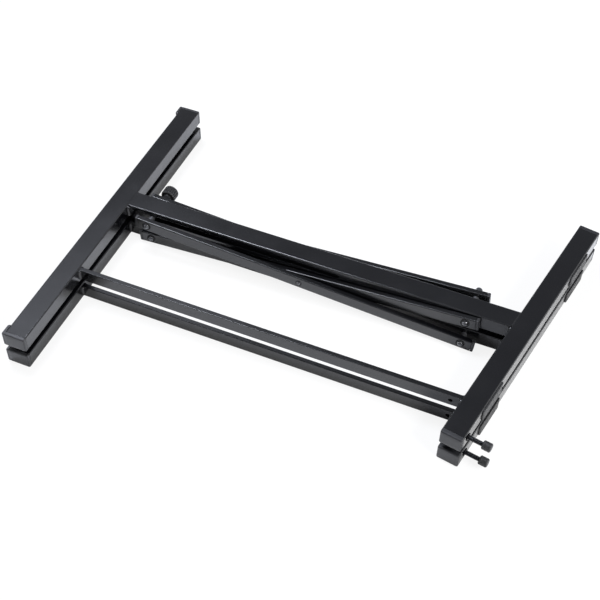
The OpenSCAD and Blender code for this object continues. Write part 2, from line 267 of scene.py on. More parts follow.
def collar(bore: float, radius: float, low: float, high: float) -> list[Flat]:
    """Section of a washer or sleeve with broken edges.

    Args:
        bore: its inner radius.
        radius: its outer radius.
        low: where it starts along its axle.
        high: where it ends.

    Returns:
        Its (radius, height) points in order.
    """
    e = min(EDGE_BREAK, (high - low) / 4)
    lower = [(bore, low + e), (bore + e, low), (radius - e, low), (radius, low + e)]
    upper = [(radius, high - e), (radius - e, high), (bore + e, high), (bore, high - e)]
    return lower + upper


def dome_line(radius: float, height: float, steps: int) -> list[Flat]:
    """Section of a low dome, from its crown to its foot.

    Args:
        radius: the dome's radius at its foot.
        height: its height.
        steps: straight pieces along it.

    Returns:
        Its (radius, height) points in order.
    """
    ball = (radius * radius + height * height) / (2 * height)
    tilt = math.degrees(math.asin(radius / ball))
    return arc((0, height - ball), ball, 90 - CROWN_ANGLE, 90 - tilt, steps)


class Shape:
    """A piece's mesh while it is being made, in millimetres."""

    def __init__(self) -> None:
        """Starts with an empty mesh."""
        self.bm = bmesh.new()

    def skin(self, rings: Sequence[Sequence[Vector]], looped: bool = False) -> "Shape":
        """Joins rings of equally many points into a closed skin.

        Args:
            rings: the rings in order.
            looped: joins the last ring to the first instead of closing both ends.

        Returns:
            The shape itself.
        """
        loops = [[self.bm.verts.new(point) for point in ring] for ring in rings]
        pairs = list(zip(loops, loops[1:]))
        if looped:
            pairs.append((loops[-1], loops[0]))
        count = len(loops[0])
        for low, high in pairs:
            for i in range(count):
                j = (i + 1) % count
                self.bm.faces.new((low[i], low[j], high[j], high[i]))
        if not looped:
            self.bm.faces.new(loops[0][::-1])
            self.bm.faces.new(loops[-1])
        return self

    def turn(
        self,
        profile: Sequence[Flat],
        steps: int = 48,
        looped: bool = False,
        carve: Callable[[int, int], float] | None = None,
    ) -> "Shape":
        """Turns a profile of (radius, height) points round Z.

        Args:
            profile: the profile's points in order.
            steps: points round the axis.
            looped: the profile is a closed section, as that of a washer.
            carve: gives how far a point lies under the profile, from the numbers of its place on the
                profile and of its spoke.

        Returns:
            The shape itself.
        """
        spokes = [(math.cos(2 * math.pi * k / steps), math.sin(2 * math.pi * k / steps)) for k in range(steps)]
        rings = []
        for i, (radius, z) in enumerate(profile):
            reaches = [radius - (carve(i, k) if carve else 0.0) for k in range(steps)]
            rings.append([Vector((r * c, r * s, z)) for r, (c, s) in zip(reaches, spokes)])
        return self.skin(rings, looped)

    def prism(self, outline: Sequence[Flat], low: float, high: float) -> "Shape":
        """Raises a flat outline along Z.

        Args:
            outline: its points.
            low: where it starts.
            high: where it ends.

        Returns:
            The shape itself.
        """
        return self.skin([[Vector((x, y, z)) for x, y in outline] for z in (low, high)])

    def hollow(
        self,
        outer: Sequence[Flat],
        inner: Sequence[Flat],
        near: Callable[[float, float], Vector],
        far: Callable[[float, float], Vector],
    ) -> "Shape":
        """Makes a tube with a real wall between two end planes.

        Args:
            outer: outer outline of its section.
            inner: inner outline, with as many points.
            near: puts a point of the section on the near end plane.
            far: puts a point of the section on the far end plane.

        Returns:
            The shape itself.
        """
        rings = [
            [near(u, v) for u, v in outer],
            [far(u, v) for u, v in outer],
            [far(u, v) for u, v in inner],
            [near(u, v) for u, v in inner],
        ]
        return self.skin(rings, looped=True)

    def moved(self, place: Matrix) -> "Shape":
        """Moves the shape, and returns it."""
        self.bm.transform(place)
        return self

    def _steady(self) -> None:
        """Turns every face outward."""
        bmesh.ops.recalc_face_normals(self.bm, faces=self.bm.faces[:])

    def _as_object(self) -> bpy.types.Object:
        """Puts the mesh into a passing object for the Boolean tools.

        Returns:
            The object.
        """
        self._steady()
        mesh = bpy.data.meshes.new("passing")
        self.bm.to_mesh(mesh)
        made = bpy.data.objects.new("passing", mesh)
        bpy.context.scene.collection.objects.link(made)
        return made

    def _combine(self, operation: str, others: Sequence["Shape"]) -> "Shape":
        """Runs one Boolean operation with each of the other shapes.

        Args:
            operation: the Boolean modifier's name for it.
            others: the shapes that it is run with.

        Returns:
            The shape itself.
        """
        passing = [self._as_object()]
        for other in others:
            passing.append(other._as_object())
            modifier = passing[0].modifiers.new("combine", "BOOLEAN")
            modifier.operation = operation
            modifier.solver = "EXACT"
            modifier.object = passing[-1]
        graph = bpy.context.evaluated_depsgraph_get()
        result = bpy.data.meshes.new_from_object(passing[0].evaluated_get(graph))
        self.bm.clear()
        self.bm.from_mesh(result)
        bpy.data.meshes.remove(result)
        for made in passing:
            mesh = made.data
            bpy.data.objects.remove(made)
            bpy.data.meshes.remove(mesh)
        return self

    def cut(self, *others: "Shape") -> "Shape":
        """Takes the other shapes away from this one."""
        return self._combine("DIFFERENCE", others)

    def fuse(self, *others: "Shape") -> "Shape":
        """Grows this shape by the other shapes."""
        return self._combine("UNION", others)

    def common(self, *others: "Shape") -> "Shape":
        """Keeps what this shape shares with the others."""
        return self._combine("INTERSECT", others)

    def soften(self, width: float, segments: int = 2, from_angle: float = 40.0) -> "Shape":
        """Rounds every edge that is sharper than an angle.

        Args:
            width: the rounding's width.
            segments: facets across it.
            from_angle: the least angle between the faces, in degrees.

        Returns:
            The shape itself.
        """
        self._steady()
        limit = math.radians(from_angle)
        edges = [e for e in self.bm.edges if len(e.link_faces) == 2 and e.calc_face_angle(0.0) > limit]
        bmesh.ops.bevel(
            self.bm,
            geom=edges,
            offset=width,
            offset_type="OFFSET",
            segments=segments,
            profile=0.5,
            affect="EDGES",
            clamp_overlap=True,
        )
        return self


def round_off(at: float, end: float, radius: float) -> float:
    """How far a rounded end has drawn a side in at a place, for an end of that radius."""
    past = max(0.0, at - (end - radius))
    return radius - math.sqrt(max(0.0, radius * radius - past * past))


def drawn_in(width: float, height: float, stations: Sequence[Flat], corner: Sequence[float], steps: int = 8) -> Shape:
    """A solid along Y with a rounded rectangular section that is drawn in by its own inset at each place.

    Args:
        width: the section's full size along X.
        height: its full size along Z.
        stations: each a place along Y and the inset there.
        corner: radius of the full section's corners, how much of an inset they lose, and their least radius.
        steps: straight pieces in each corner.

    Returns:
        The solid.
    """
    full, loss, least = corner
    rings = []
    for y, inset in stations:
        outline = rounded_section(width - 2 * inset, height - 2 * inset, max(full - loss * inset, least), steps)
        rings.append([Vector((u, y, v)) for u, v in outline])
    return Shape().skin(rings)


def drill(radius: float, low: float, high: float, steps: int = 24) -> Shape:
    """A round bar along Z between two heights, to cut a bore with."""
    return Shape().prism(arc((0, 0), radius, 0, 360 - 360 / steps, steps - 1), low, high)


class NodeDesk:
    """Lays out the nodes of one material, or of the sky."""

    def __init__(self, owner: bpy.types.Material | bpy.types.World) -> None:
        """Takes the nodes of a material or world, and clears them.

        Args:
            owner: the material or world.
        """
        owner.use_nodes = True
        self.tree = owner.node_tree
        self.tree.nodes.clear()

    def add(self, kind: str, inputs: dict[str | int, object] | None = None, **settings: object) -> bpy.types.Node:
        """Adds a node.

        Args:
            kind: the node's type.
            inputs: values, or other nodes' output sockets, by the input's name or place.
            settings: the node's own properties.

        Returns:
            The new node.
        """
        node = self.tree.nodes.new(kind)
        for key, value in settings.items():
            setattr(node, key, value)
        for key, value in (inputs or {}).items():
            if isinstance(value, bpy.types.NodeSocket):
                self.tree.links.new(value, node.inputs[key])
            else:
                node.inputs[key].default_value = value
        return node

    def noise(self, size_mm: float, detail: float = 2.0) -> bpy.types.NodeSocket:
        """Adds a noise whose blotches have a given size.

        Args:
            size_mm: size of a blotch, in millimetres.
            detail: how many finer layers it holds.

        Returns:
            The noise's value.
        """
        where = self.add("ShaderNodeTexCoord").outputs["Object"]
        inputs = {"Vector": where, "Scale": 1 / (size_mm * MM), "Detail": detail, "Roughness": 0.55}
        return self.add("ShaderNodeTexNoise", inputs).outputs["Fac"]

    def spread(self, value: bpy.types.NodeSocket, low: float, high: float) -> bpy.types.NodeSocket:
        """Maps a noise's usual range to low and high."""
        inputs = {"Value": value, "From Min": 0.3, "From Max": 0.7, "To Min": low, "To Max": high}
        return self.add("ShaderNodeMapRange", inputs).outputs["Result"]

    def tint(self, value: bpy.types.NodeSocket, dark: Colour, light: Colour) -> bpy.types.NodeSocket:
        """Blends two colours by a value from 0 to 1."""
        return self.add("ShaderNodeMix", {0: value, 6: (*dark, 1), 7: (*light, 1)}, data_type="RGBA").outputs[2]

    def blend(self, share: bpy.types.NodeSocket, low: object, high: object) -> bpy.types.NodeSocket:
        """Blends two numbers, or other nodes' numbers, by a share from 0 to 1."""
        return self.add("ShaderNodeMix", {0: share, 2: low, 3: high}, data_type="FLOAT").outputs[0]

    def calc(self, operation: str, first: object, second: object) -> bpy.types.NodeSocket:
        """Works out one sum of two numbers or sockets."""
        return self.add("ShaderNodeMath", {0: first, 1: second}, operation=operation).outputs[0]

    def ease(self, value: bpy.types.NodeSocket, span: Flat, levels: Flat) -> bpy.types.NodeSocket:
        """Runs smoothly from one level to another while a value crosses a span."""
        inputs = {"Value": value, "From Min": span[0], "From Max": span[1], "To Min": levels[0], "To Max": levels[1]}
        return self.add("ShaderNodeMapRange", inputs, interpolation_type="SMOOTHSTEP").outputs["Result"]

    def relief(self, layers: Sequence[tuple[bpy.types.NodeSocket, float]]) -> bpy.types.NodeSocket:
        """Stacks bumps.

        Args:
            layers: each a height from 0 to 1 and its depth in millimetres.

        Returns:
            The bumped normal.
        """
        normal = None
        for height, depth in layers:
            inputs: dict[str | int, object] = {"Height": height, "Strength": 1.0, "Distance": depth * MM}
            if normal is not None:
                inputs["Normal"] = normal
            normal = self.add("ShaderNodeBump", inputs).outputs["Normal"]
        return normal

    def surface(self, inputs: dict[str | int, object]) -> None:
        """Ends the material in a principled shader with these inputs."""
        shader = self.add("ShaderNodeBsdfPrincipled", inputs)
        self.add("ShaderNodeOutputMaterial", {"Surface": shader.outputs["BSDF"]})


def shade(colour: Colour, gain: float, lift: float = 0.0) -> Colour:
    """A colour made stronger by a gain and lighter by a lift."""
    return tuple(gain * part + lift for part in colour)


@dataclass(frozen=True)
class Finish:
    """A finish that makes its material once and then hands it out.

    A noise runs its colour from a dark to a light tone, and a noise runs its roughness over a band.
    """

    _made: ClassVar[dict[str, bpy.types.Material]] = {}

    name: str
    colour: Colour
    roughness: float
    dark: float = 1.0
    light: float = 1.5
    lift: float = 0.0
    band: Flat = (0.0, 0.0)

    def lay_out(self, desk: NodeDesk) -> None:
        """Lays out the material's nodes."""
        raise NotImplementedError

    def material(self) -> bpy.types.Material:
        """Makes the material at the first call, and keeps it.

        Returns:
            The finish's material.
        """
        if self.name not in Finish._made:
            made = bpy.data.materials.new(self.name)
            self.lay_out(NodeDesk(made))
            Finish._made[self.name] = made
        return Finish._made[self.name]

    def _tone(self, desk: NodeDesk, value: bpy.types.NodeSocket) -> bpy.types.NodeSocket:
        """The colour, from its dark to its light tone by a noise."""
        dark, light = shade(self.colour, self.dark), shade(self.colour, self.light, self.lift)
        return desk.tint(desk.spread(value, 0.0, 1.0), dark, light)

    def _sheen(self, desk: NodeDesk, value: bpy.types.NodeSocket) -> bpy.types.NodeSocket:
        """The roughness, over its band by a noise."""
        return desk.spread(value, self.roughness + self.band[0], self.roughness + self.band[1])


@dataclass(frozen=True)
class PowderCoat(Finish):
    """Satin powder coat: a fine grain over slow orange peel, with a slight drift in gloss."""

    dark: float = 0.86
    light: float = 1.22
    lift: float = 0.001
    band: Flat = (-0.035, 0.035)
    grain_mm: float = 0.55
    grain_depth: float = 0.005
    peel_mm: float = 3.2
    peel_depth: float = 0.005
    fleck_mm: float = 0.9
    drift_mm: float = 60.0
    gloss: float = 0.22
    gloss_roughness: float = 0.20
    specular: float = 0.50

    def lay_out(self, desk: NodeDesk) -> None:
        """Lays out the coat's nodes.

        Args:
            desk: where they are laid out.
        """
        grain = desk.noise(self.grain_mm, 3.0)
        peel = desk.noise(self.peel_mm, 1.0)
        desk.surface(
            {
                "Base Color": self._tone(desk, desk.noise(self.fleck_mm, 2.0)),
                "Roughness": self._sheen(desk, desk.noise(self.drift_mm, 3.0)),
                "Normal": desk.relief([(peel, self.peel_depth), (grain, self.grain_depth)]),
                "Specular IOR Level": self.specular,
                "Coat Weight": self.gloss,
                "Coat Roughness": self.gloss_roughness,
            }
        )


@dataclass(frozen=True)
class MouldedPlastic(Finish):
    """Moulded black plastic with a spark-eroded grain."""

    light: float = 1.3
    lift: float = 0.001
    band: Flat = (-0.05, 0.06)
    grain_mm: float = 0.7
    grain_depth: float = 0.02
    flow_mm: float = 14.0
    specular: float = 0.45

    def lay_out(self, desk: NodeDesk) -> None:
        """Lays out the plastic's nodes.

        Args:
            desk: where they are laid out.
        """
        grain = desk.noise(self.grain_mm, 2.0)
        desk.surface(
            {
                "Base Color": self._tone(desk, desk.noise(self.flow_mm, 2.0)),
                "Roughness": self._sheen(desk, grain),
                "Normal": desk.relief([(grain, self.grain_depth)]),
                "Specular IOR Level": self.specular,
            }
        )


@dataclass(frozen=True)
class Rubber(Finish):
    """Matt black rubber with a fine bloom."""

    light: float = 1.7
    lift: float = 0.002
    band: Flat = (0.0, 0.12)
    bloom_mm: float = 5.0
    skin_mm: float = 0.5
    skin_depth: float = 0.025
    specular: float = 0.4

    def lay_out(self, desk: NodeDesk) -> None:
        """Lays out the rubber's nodes.

        Args:
            desk: where they are laid out.
        """
        bloom = desk.noise(self.bloom_mm, 4.0)
        skin = desk.noise(self.skin_mm, 3.0)
        desk.surface(
            {
                "Base Color": self._tone(desk, bloom),
                "Roughness": self._sheen(desk, bloom),
                "Normal": desk.relief([(skin, self.skin_depth)]),
                "Specular IOR Level": self.specular,
            }
        )


@dataclass(frozen=True)
class BlackZinc(Finish):
    """Black zinc plate on turned steel: dark, half bright, with faint tool marks."""

    band: Flat = (-0.06, 0.08)
    wear_mm: float = 2.5
    marks_mm: float = 0.35
    marks_depth: float = 0.006
    metallic: float = 0.85

    def lay_out(self, desk: NodeDesk) -> None:
        """Lays out the plate's nodes.

        Args:
            desk: where they are laid out.
        """
        wear = desk.noise(self.wear_mm, 4.0)
        marks = desk.noise(self.marks_mm, 2.0)
        desk.surface(
            {
                "Base Color": self._tone(desk, wear),
                "Metallic": self.metallic,
                "Roughness": self._sheen(desk, wear),
                "Normal": desk.relief([(marks, self.marks_depth)]),
            }
        )


FRAME_COAT = PowderCoat("frame_powder_coat", (0.0019, 0.0020, 0.0028), 0.21)
# The brace and bars take darker, less glossy copies of the frame coat: painted shade that makes these parts read
# darker than the lamps leave them.
BRACE_SHADED_COAT = PowderCoat("brace_shaded_powder_coat", (0.0017, 0.0018, 0.0024), 0.22, gloss=0.04)
BAR_SHADED_COAT = PowderCoat("bar_shaded_powder_coat", (0.0018, 0.0019, 0.0025), 0.22, grain_mm=0.5, gloss=0.04)
WELD_COAT = PowderCoat("weld_powder_coat", (0.0022, 0.0023, 0.0030), 0.20, grain_mm=0.8, peel_mm=2.0)
CAP_PLASTIC = MouldedPlastic("cap_plastic", (0.0074, 0.0076, 0.0092), 0.44)
FOOT_PLASTIC = MouldedPlastic("foot_cap_plastic", (0.0170, 0.0173, 0.0190), 0.40)
PLUG_PLASTIC = MouldedPlastic("plug_plastic", (0.0110, 0.0113, 0.0126), 0.40)
KNOB_PLASTIC = MouldedPlastic("knob_plastic", (0.0045, 0.0045, 0.0050), 0.44, grain_mm=0.5)
PAD_RUBBER = Rubber("pad_rubber", (0.0045, 0.0045, 0.0048), 0.42)
TIP_RUBBER = Rubber("tip_rubber", (0.0070, 0.0070, 0.0074), 0.5)
# Near-black matt finish of the bolt flanges and rivet rims: painted shade for the dark ring round each dome.
FLANGE_PAINTED_SHADE = Rubber("flange_painted_shade", (0.0030, 0.0030, 0.0034), 0.66)
BOLT_ZINC = BlackZinc("bolt_black_zinc", (0.090, 0.091, 0.096), 0.24)
THREAD_ZINC = BlackZinc("thread_black_zinc", (0.022, 0.023, 0.026), 0.34)
INSERT_ZINC = BlackZinc("insert_black_zinc", (0.004, 0.004, 0.005), 0.60)
HIDDEN_ZINC = BlackZinc("sleeve_black_zinc", (0.090, 0.091, 0.096), 0.40)


def place_piece(
    shape: Shape,
    name: str,
    finish: Finish,
    body: str,
    nodes: Sequence[str],
    place: Matrix,
    sharp_from: float = 32.0,
) -> None:
    """Turns a shape into a piece of the model.

    Args:
        shape: the mesh in millimetres, which is used up.
        name: the piece's name.
        finish: its finish.
        body: the CAD body that it rides on.
        nodes: the CAD nodes that it stands for.
        place: its placement, in millimetres of the shared frame.
        sharp_from: the angle from which an edge is shaded sharp, in degrees.
    """
    shape.moved(Matrix.Scale(MM, 4) @ place)
    bmesh.ops.recalc_face_normals(shape.bm, faces=shape.bm.faces[:])
    mesh = bpy.data.meshes.new(name)
    shape.bm.to_mesh(mesh)
    shape.bm.free()
    mesh.shade_smooth()
    mesh.set_sharp_from_angle(angle=math.radians(sharp_from))
    piece = bpy.data.objects.new(name, mesh)
    bpy.context.scene.collection.objects.link(piece)
    weigh = piece.modifiers.new("weigh", "WEIGHTED_NORMAL")
    weigh.keep_sharp = True
    graph = bpy.context.evaluated_depsgraph_get()
    final = bpy.data.meshes.new_from_object(piece.evaluated_get(graph))
    piece.modifiers.clear()
    piece.data = final
    final.name = name
    bpy.data.meshes.remove(mesh)
    final.materials.clear()
    final.materials.append(finish.material())
    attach(piece, body)
    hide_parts(*nodes)
    log.info("%s: %d faces on %s, for %s", name, len(final.polygons), body, ", ".join(nodes))


@dataclass
class FramePart:
    """What the sub-assemblies of one frame share: its side, the layout, and how their shapes are placed."""

    side: Side
    layout: Layout = LAYOUT

    def _add(
        self,
        shape: Shape,
        name: str,
        finish: Finish,
        slot: Slot,
        node: str,
        place: Matrix = IN_PLACE,
        body: str = "frame",
        sharp_from: float = 32.0,
    ) -> None:
        """Places one shape.

        Args:
            shape: the shape.
            name: the piece's name, without the frame's.
            finish: its finish.
            slot: the record's material slot; not used.
            node: the CAD node that it stands for, without the frame's name.
            place: its placement in the frame.
            body: the body that it rides on, without the frame's name.
            sharp_from: the angle from which an edge is shaded sharp, in degrees.
        """
        prefix = self.side.value
        whole = self.layout.at_frame(self.side) @ place
        nodes = [f"{prefix}_{node}"]
        place_piece(shape, f"{prefix}.{name}", finish, f"{prefix}_{body}", nodes, whole, sharp_from)


@dataclass
class TubeFrame(FramePart):
    """One welded frame: foot, column, tilted arm, brace and the welds that join them."""

    slot_w: float = 9.0
    slot_start: float = 71.7
    slot_end: float = 399.5
    slot_break: float = 0.5
    brace_at: float = 167.5
    brace_w: float = 7.5
    brace_h: float = 21.0
    brace_wall: float = 1.2
    brace_corner: float = 0.8
    brace_hole_r: float = 3.25
    brace_hole_inset: float = 16.5
    edge_break: float = 0.3
    bead_leg: float = 3.5
    bead_root: float = 0.25
    bead_bow: float = 0.9
    bead_steps: int = 64
    bead_facets: int = 10
    column_bead: float = 20.5
    brace_bead: float = 18.0
    bead_drift: float = 0.18
    ripple: float = 1.5
    ripple_depth: float = 0.22
    seam_sag: float = 0.26
    seam_out: float = 0.45
    seam_wave: float = 0.06
    seam_steps: int = 40
    seam_facets: int = 8

    def build(self) -> None:
        """Builds and dresses the frame's five kinds of pieces."""
        lay = self.layout
        foot = self._cross_tube(lay.foot_cap_t - lay.foot_front, lay.foot_rear - lay.foot_cap_t)
        foot.soften(self.edge_break)
        self._add(foot, "foot", FRAME_COAT, Slot.FRAME, "foot_tube")
        self._add(self._column(), "column", FRAME_COAT, Slot.FRAME, "column_tube")
        self._add(self._arm(), "arm", FRAME_COAT, Slot.FRAME, "arm_tube")
        self._add(self._brace(), "brace", BRACE_SHADED_COAT, Slot.FRAME, "brace")
        self._add(self._welds(), "welds", WELD_COAT, Slot.FRAME, "weld_beads", sharp_from=60.0)

    def _sections(self) -> list[list[Flat]]:
        """Outer and inner outline of the frame tube."""
        lay = self.layout
        return tube_outlines(lay.tube_w, lay.tube_h, lay.corner, lay.wall)

    def _cross_tube(self, low: float, high: float) -> Shape:
        """A frame tube that runs front to rear, beside X = 0.

        Args:
            low: Y of its front end.
            high: Y of its rear end.

        Returns:
            The tube, with sharp ends.
        """
        half = self.layout.half_w
        return Shape().hollow(
            *self._sections(),
            lambda u, v: Vector((u + half, low, v)),
            lambda u, v: Vector((u + half, high, v)),
        )

    def _column(self) -> Shape:
        """The column tube with the long slot and the pivot bore through both sides.

        Returns:
            The tube, with softened edges.
        """
        lay = self.layout
        tube = Shape().hollow(
            *self._sections(),
            lambda u, v: Vector((lay.tube_w, u, v)),
            lambda u, v: Vector((lay.arm_plane(u), u, v)),
        )
        half = self.slot_w / 2
        stadium = arc((self.slot_start + half, 0), half, 90, 270, 16)
        stadium += arc((self.slot_end - half, 0), half, -90, 90, 16)
        slot = Shape().prism(stadium, -lay.tube_w, lay.tube_w).moved(FACING_FRONT)
        through = Matrix.Translation((lay.pivot_at, 0, 0)) @ FACING_FRONT
        bore = drill(lay.bore_r, -lay.tube_w, lay.tube_w).moved(through)
        return tube.cut(slot, bore).soften(self.slot_break)

    def _arm(self) -> Shape:
        """The arm tube, with the bore for the stop screw's insert in its outer side.

        Returns:
            The tube, turned by the arm's tilt.
        """
        lay = self.layout
        tube = self._cross_tube(lay.arm_cap_t - lay.arm_front, lay.arm_rear - lay.arm_cap_t)
        bore = drill(lay.insert_r, -lay.half_w, lay.half_w, 36).moved(lay.on_stop())
        return tube.cut(bore).soften(self.edge_break).moved(lay.on_arm())

    def _brace(self) -> Shape:
        """The thin brace tube, with a small hole in its front near the arm.

        Returns:
            The tube, with softened edges.
        """
        lay = self.layout
        tube = Shape().hollow(
            *tube_outlines(self.brace_w, self.brace_h, self.brace_corner, self.brace_wall, 6),
            lambda u, v: Vector((lay.tube_w, u - self.brace_at, v)),
            lambda u, v: Vector((lay.arm_plane(u - self.brace_at), u - self.brace_at, v)),
        )
        hole_x = lay.arm_plane(-self.brace_at) - self.brace_hole_inset
        forward = Matrix.Translation((hole_x, -self.brace_at, 0)) @ FACING_FRONT
        hole = drill(self.brace_hole_r, 0, 2 * self.brace_w).moved(forward)
        return tube.cut(hole).soften(self.edge_break)

    def _welds(self) -> Shape:
        """All of the frame's weld beads: eight upright ones and four dressed seams.

        Returns:
            The welds as one shape.
        """
        lay = self.layout
        shape = Shape()
        joints = ((0.0, lay.tube_w, self.column_bead), (-self.brace_at, self.brace_w, self.brace_bead))
        along_arm = Vector((math.sin(lay.arm_tilt), math.cos(lay.arm_tilt), 0))
        for middle, width, height in joints:
            for sign in (-1, 1):
                y = middle + sign * width / 2
                foot_corner = Vector((lay.tube_w, y, 0))
                self._bead(shape, foot_corner, Vector((0, sign, 0)), Vector((1, 0, 0)), height)
                arm_corner = Vector((lay.arm_plane(y), y, 0))
                self._bead(shape, arm_corner, sign * along_arm, Vector((-1, 0, 0)), height)
        for top in (-1, 1):
            self._seam(shape, Matrix.Translation((lay.tube_w, 0, 0)), top)
            arm = lay.on_arm() @ Matrix.Rotation(math.pi, 4, "Z")
            self._seam(shape, arm, top)
        return shape

    def _bead(self, shape: Shape, corner: Vector, wall_a: Vector, wall_b: Vector, height: float) -> None:
        """Adds one rippled fillet bead in an upright corner.

        Args:
            shape: the welds so far.
            corner: where the two walls meet, at the frame's middle plane.
            wall_a: direction along one wall, away from the corner.
            wall_b: direction along the other wall.
            height: the bead's length.
        """
        rings = []
        for k in range(self.bead_steps + 1):
            along = k / self.bead_steps
            z = (along - 0.5) * height
            fullness = min(1.0, math.sqrt(max(0.0, 1 - (2 * along - 1) ** 6)) + 0.12)
            ring = [corner - self.bead_root * (wall_a + wall_b) + Vector((0, 0, z))]
            for j in range(self.bead_facets + 1):
                across = j / self.bead_facets
                middle = math.sin(math.pi * across)
                phase = (z + self.bead_bow * (1 - (2 * across - 1) ** 2)) / self.ripple
                scallop = self.ripple_depth * abs(math.sin(math.pi * phase)) - 0.12
                drift = self.bead_drift * noise.noise(Vector((corner.x * 0.7, corner.y * 0.7 + across, z * 0.35)))
                angle = across * math.pi / 2
                flat = 0.93 + 0.07 * abs(math.cos(2 * angle))
                reach = flat * fullness * (self.bead_leg + (scallop + drift) * middle)
                point = corner + reach * (math.cos(angle) * wall_a + math.sin(angle) * wall_b)
                ring.append(point + Vector((0, 0, z)))
            rings.append(ring)
        shape.skin(rings)

    def _seam(self, shape: Shape, place: Matrix, top: int) -> None:
        """Adds a dressed seam that fills the groove where a column's flat end meets a round tube edge.

        Args:
            shape: the welds so far.
            place: puts the seam's X along the column, away from the crossing tube.
            top: 1 for the upper face, -1 for the lower face.
        """
        lay = self.layout
        half = lay.half_w - lay.corner
        crest = lay.tube_h / 2
        groove = 0.86 * lay.corner
        rings = []
        for k in range(self.seam_steps + 1):
            y = -half + 2 * half * k / self.seam_steps
            wave = self.seam_wave * noise.noise(Vector((place.translation.x, y * 0.45, top)))
            ring = []
            for j in range(self.seam_facets + 1):
                across = j / self.seam_facets
                sag = (self.seam_sag - wave) * math.sin(math.pi * across) + 0.03
                x = -groove + across * (groove + self.seam_out)
                ring.append(place @ Vector((x, y, top * (crest - sag))))
            ring.append(place @ Vector((0.3, y, top * (crest - 0.9 * lay.corner))))
            rings.append(ring)
        shape.skin(rings)


@dataclass
class TubeCaps(FramePart):
    """The moulded caps in the ends of one frame's foot and arm, with the floor pads on the foot's."""

    foot_round: float = 2.5
    arm_round: float = 2.8
    plug: float = 8.0
    plug_inset: float = 2.5
    crown_sink: float = 0.25
    pad_len: float = 20.0
    pad_t: float = 4.5
    pad_drop: float = 0.3

    def build(self) -> None:
        """Builds and dresses the four caps."""
        lay = self.layout
        for end, foot_reach, arm_reach in (
            (End.FRONT, lay.foot_front, lay.arm_front),
            (End.REAR, lay.foot_rear, lay.arm_rear),
        ):
            label = end.name.lower()
            place = self._end_place(end, foot_reach - lay.foot_cap_t)
            self._add(self._foot_cap(), f"foot_cap.{label}", FOOT_PLASTIC, Slot.CAPS, "foot_caps", place)
            place = lay.on_arm() @ self._end_place(end, arm_reach - lay.arm_cap_t)
            head = self._head(lay.arm_cap_t, self.arm_round)
            self._add(head, f"arm_cap.{label}", CAP_PLASTIC, Slot.CAPS, "arm_caps", place)

    def _end_place(self, end: End, y: float) -> Matrix:
        """Placement of a cap whose Y axis points out of the tube at that end."""
        flip = Matrix.Diagonal((1, end.value, 1, 1))
        return Matrix.Translation((self.layout.half_w, end.value * y, 0)) @ flip

    def _head(self, length: float, rounding: float) -> Shape:
        """A cap's visible end with a rounded rim, and the plug behind it.

        Args:
            length: how far it stands out of the tube.
            rounding: radius of its rim.

        Returns:
            The cap, with Y along the tube.
        """
        lay = self.layout
        stations = [(-self.plug, self.plug_inset), (-0.02, self.plug_inset), (0.0, 0.35), (0.35, 0.0)]
        for k in range(9):
            angle = math.pi / 2 * k / 8
            y = length - rounding + rounding * math.sin(angle) - self.crown_sink * (k / 8) ** 2
            stations.append((y, rounding * (1 - math.cos(angle))))
        stations.append((length - 0.08, rounding + 2.0))
        stations.append((length, rounding + 4.5))
        return drawn_in(lay.tube_w, lay.tube_h, stations, (lay.corner, 0.45, 1.1))

    def _foot_cap(self) -> Shape:
        """A foot cap with the floor pad moulded on its outer side.

        Returns:
            The cap, with Y along the tube.
        """
        front = self.layout.foot_cap_t
        back = front - self.pad_len
        beside_tube = [(back, 1.4), (back + 0.3, 0.95), (back + 1.5, 0.3), (back + 2.3, 0.0), (0.40, 0.0)]
        on_cap = [(0.44, 0.0), (front - 2.2, 0.0), (front - 1.3, 0.5), (front - 0.8, 0.95), (front - 0.6, 1.5)]
        rings = [self._pad_ring(y, inset, 0.0) for y, inset in beside_tube]
        rings += [self._pad_ring(y, inset, 1.0) for y, inset in on_cap]
        return self._head(front, self.foot_round).fuse(Shape().skin(rings))

    def _pad_ring(self, y: float, inset: float, into: float) -> list[Vector]:
        """One section of the floor pad, with its two outer corners rounded.

        Args:
            y: where the section lies along the tube.
            inset: how far it is drawn in from the pad's full size.
            into: how far it reaches into the cap.

        Returns:
            The section's points.
        """
        lay = self.layout
        outer = inset - lay.half_w - self.pad_t
        inner = into - lay.half_w
        half = lay.tube_h / 2 - self.pad_drop - 0.7 * inset
        radius = lay.corner
        flat = [(inner, -half)]
        flat += arc((outer + radius, radius - half), radius, 270, 180, 6)
        flat += arc((outer + radius, half - radius), radius, 180, 90, 6)
        flat += [(inner, half)]
        return [Vector((x, y, z)) for x, z in flat]


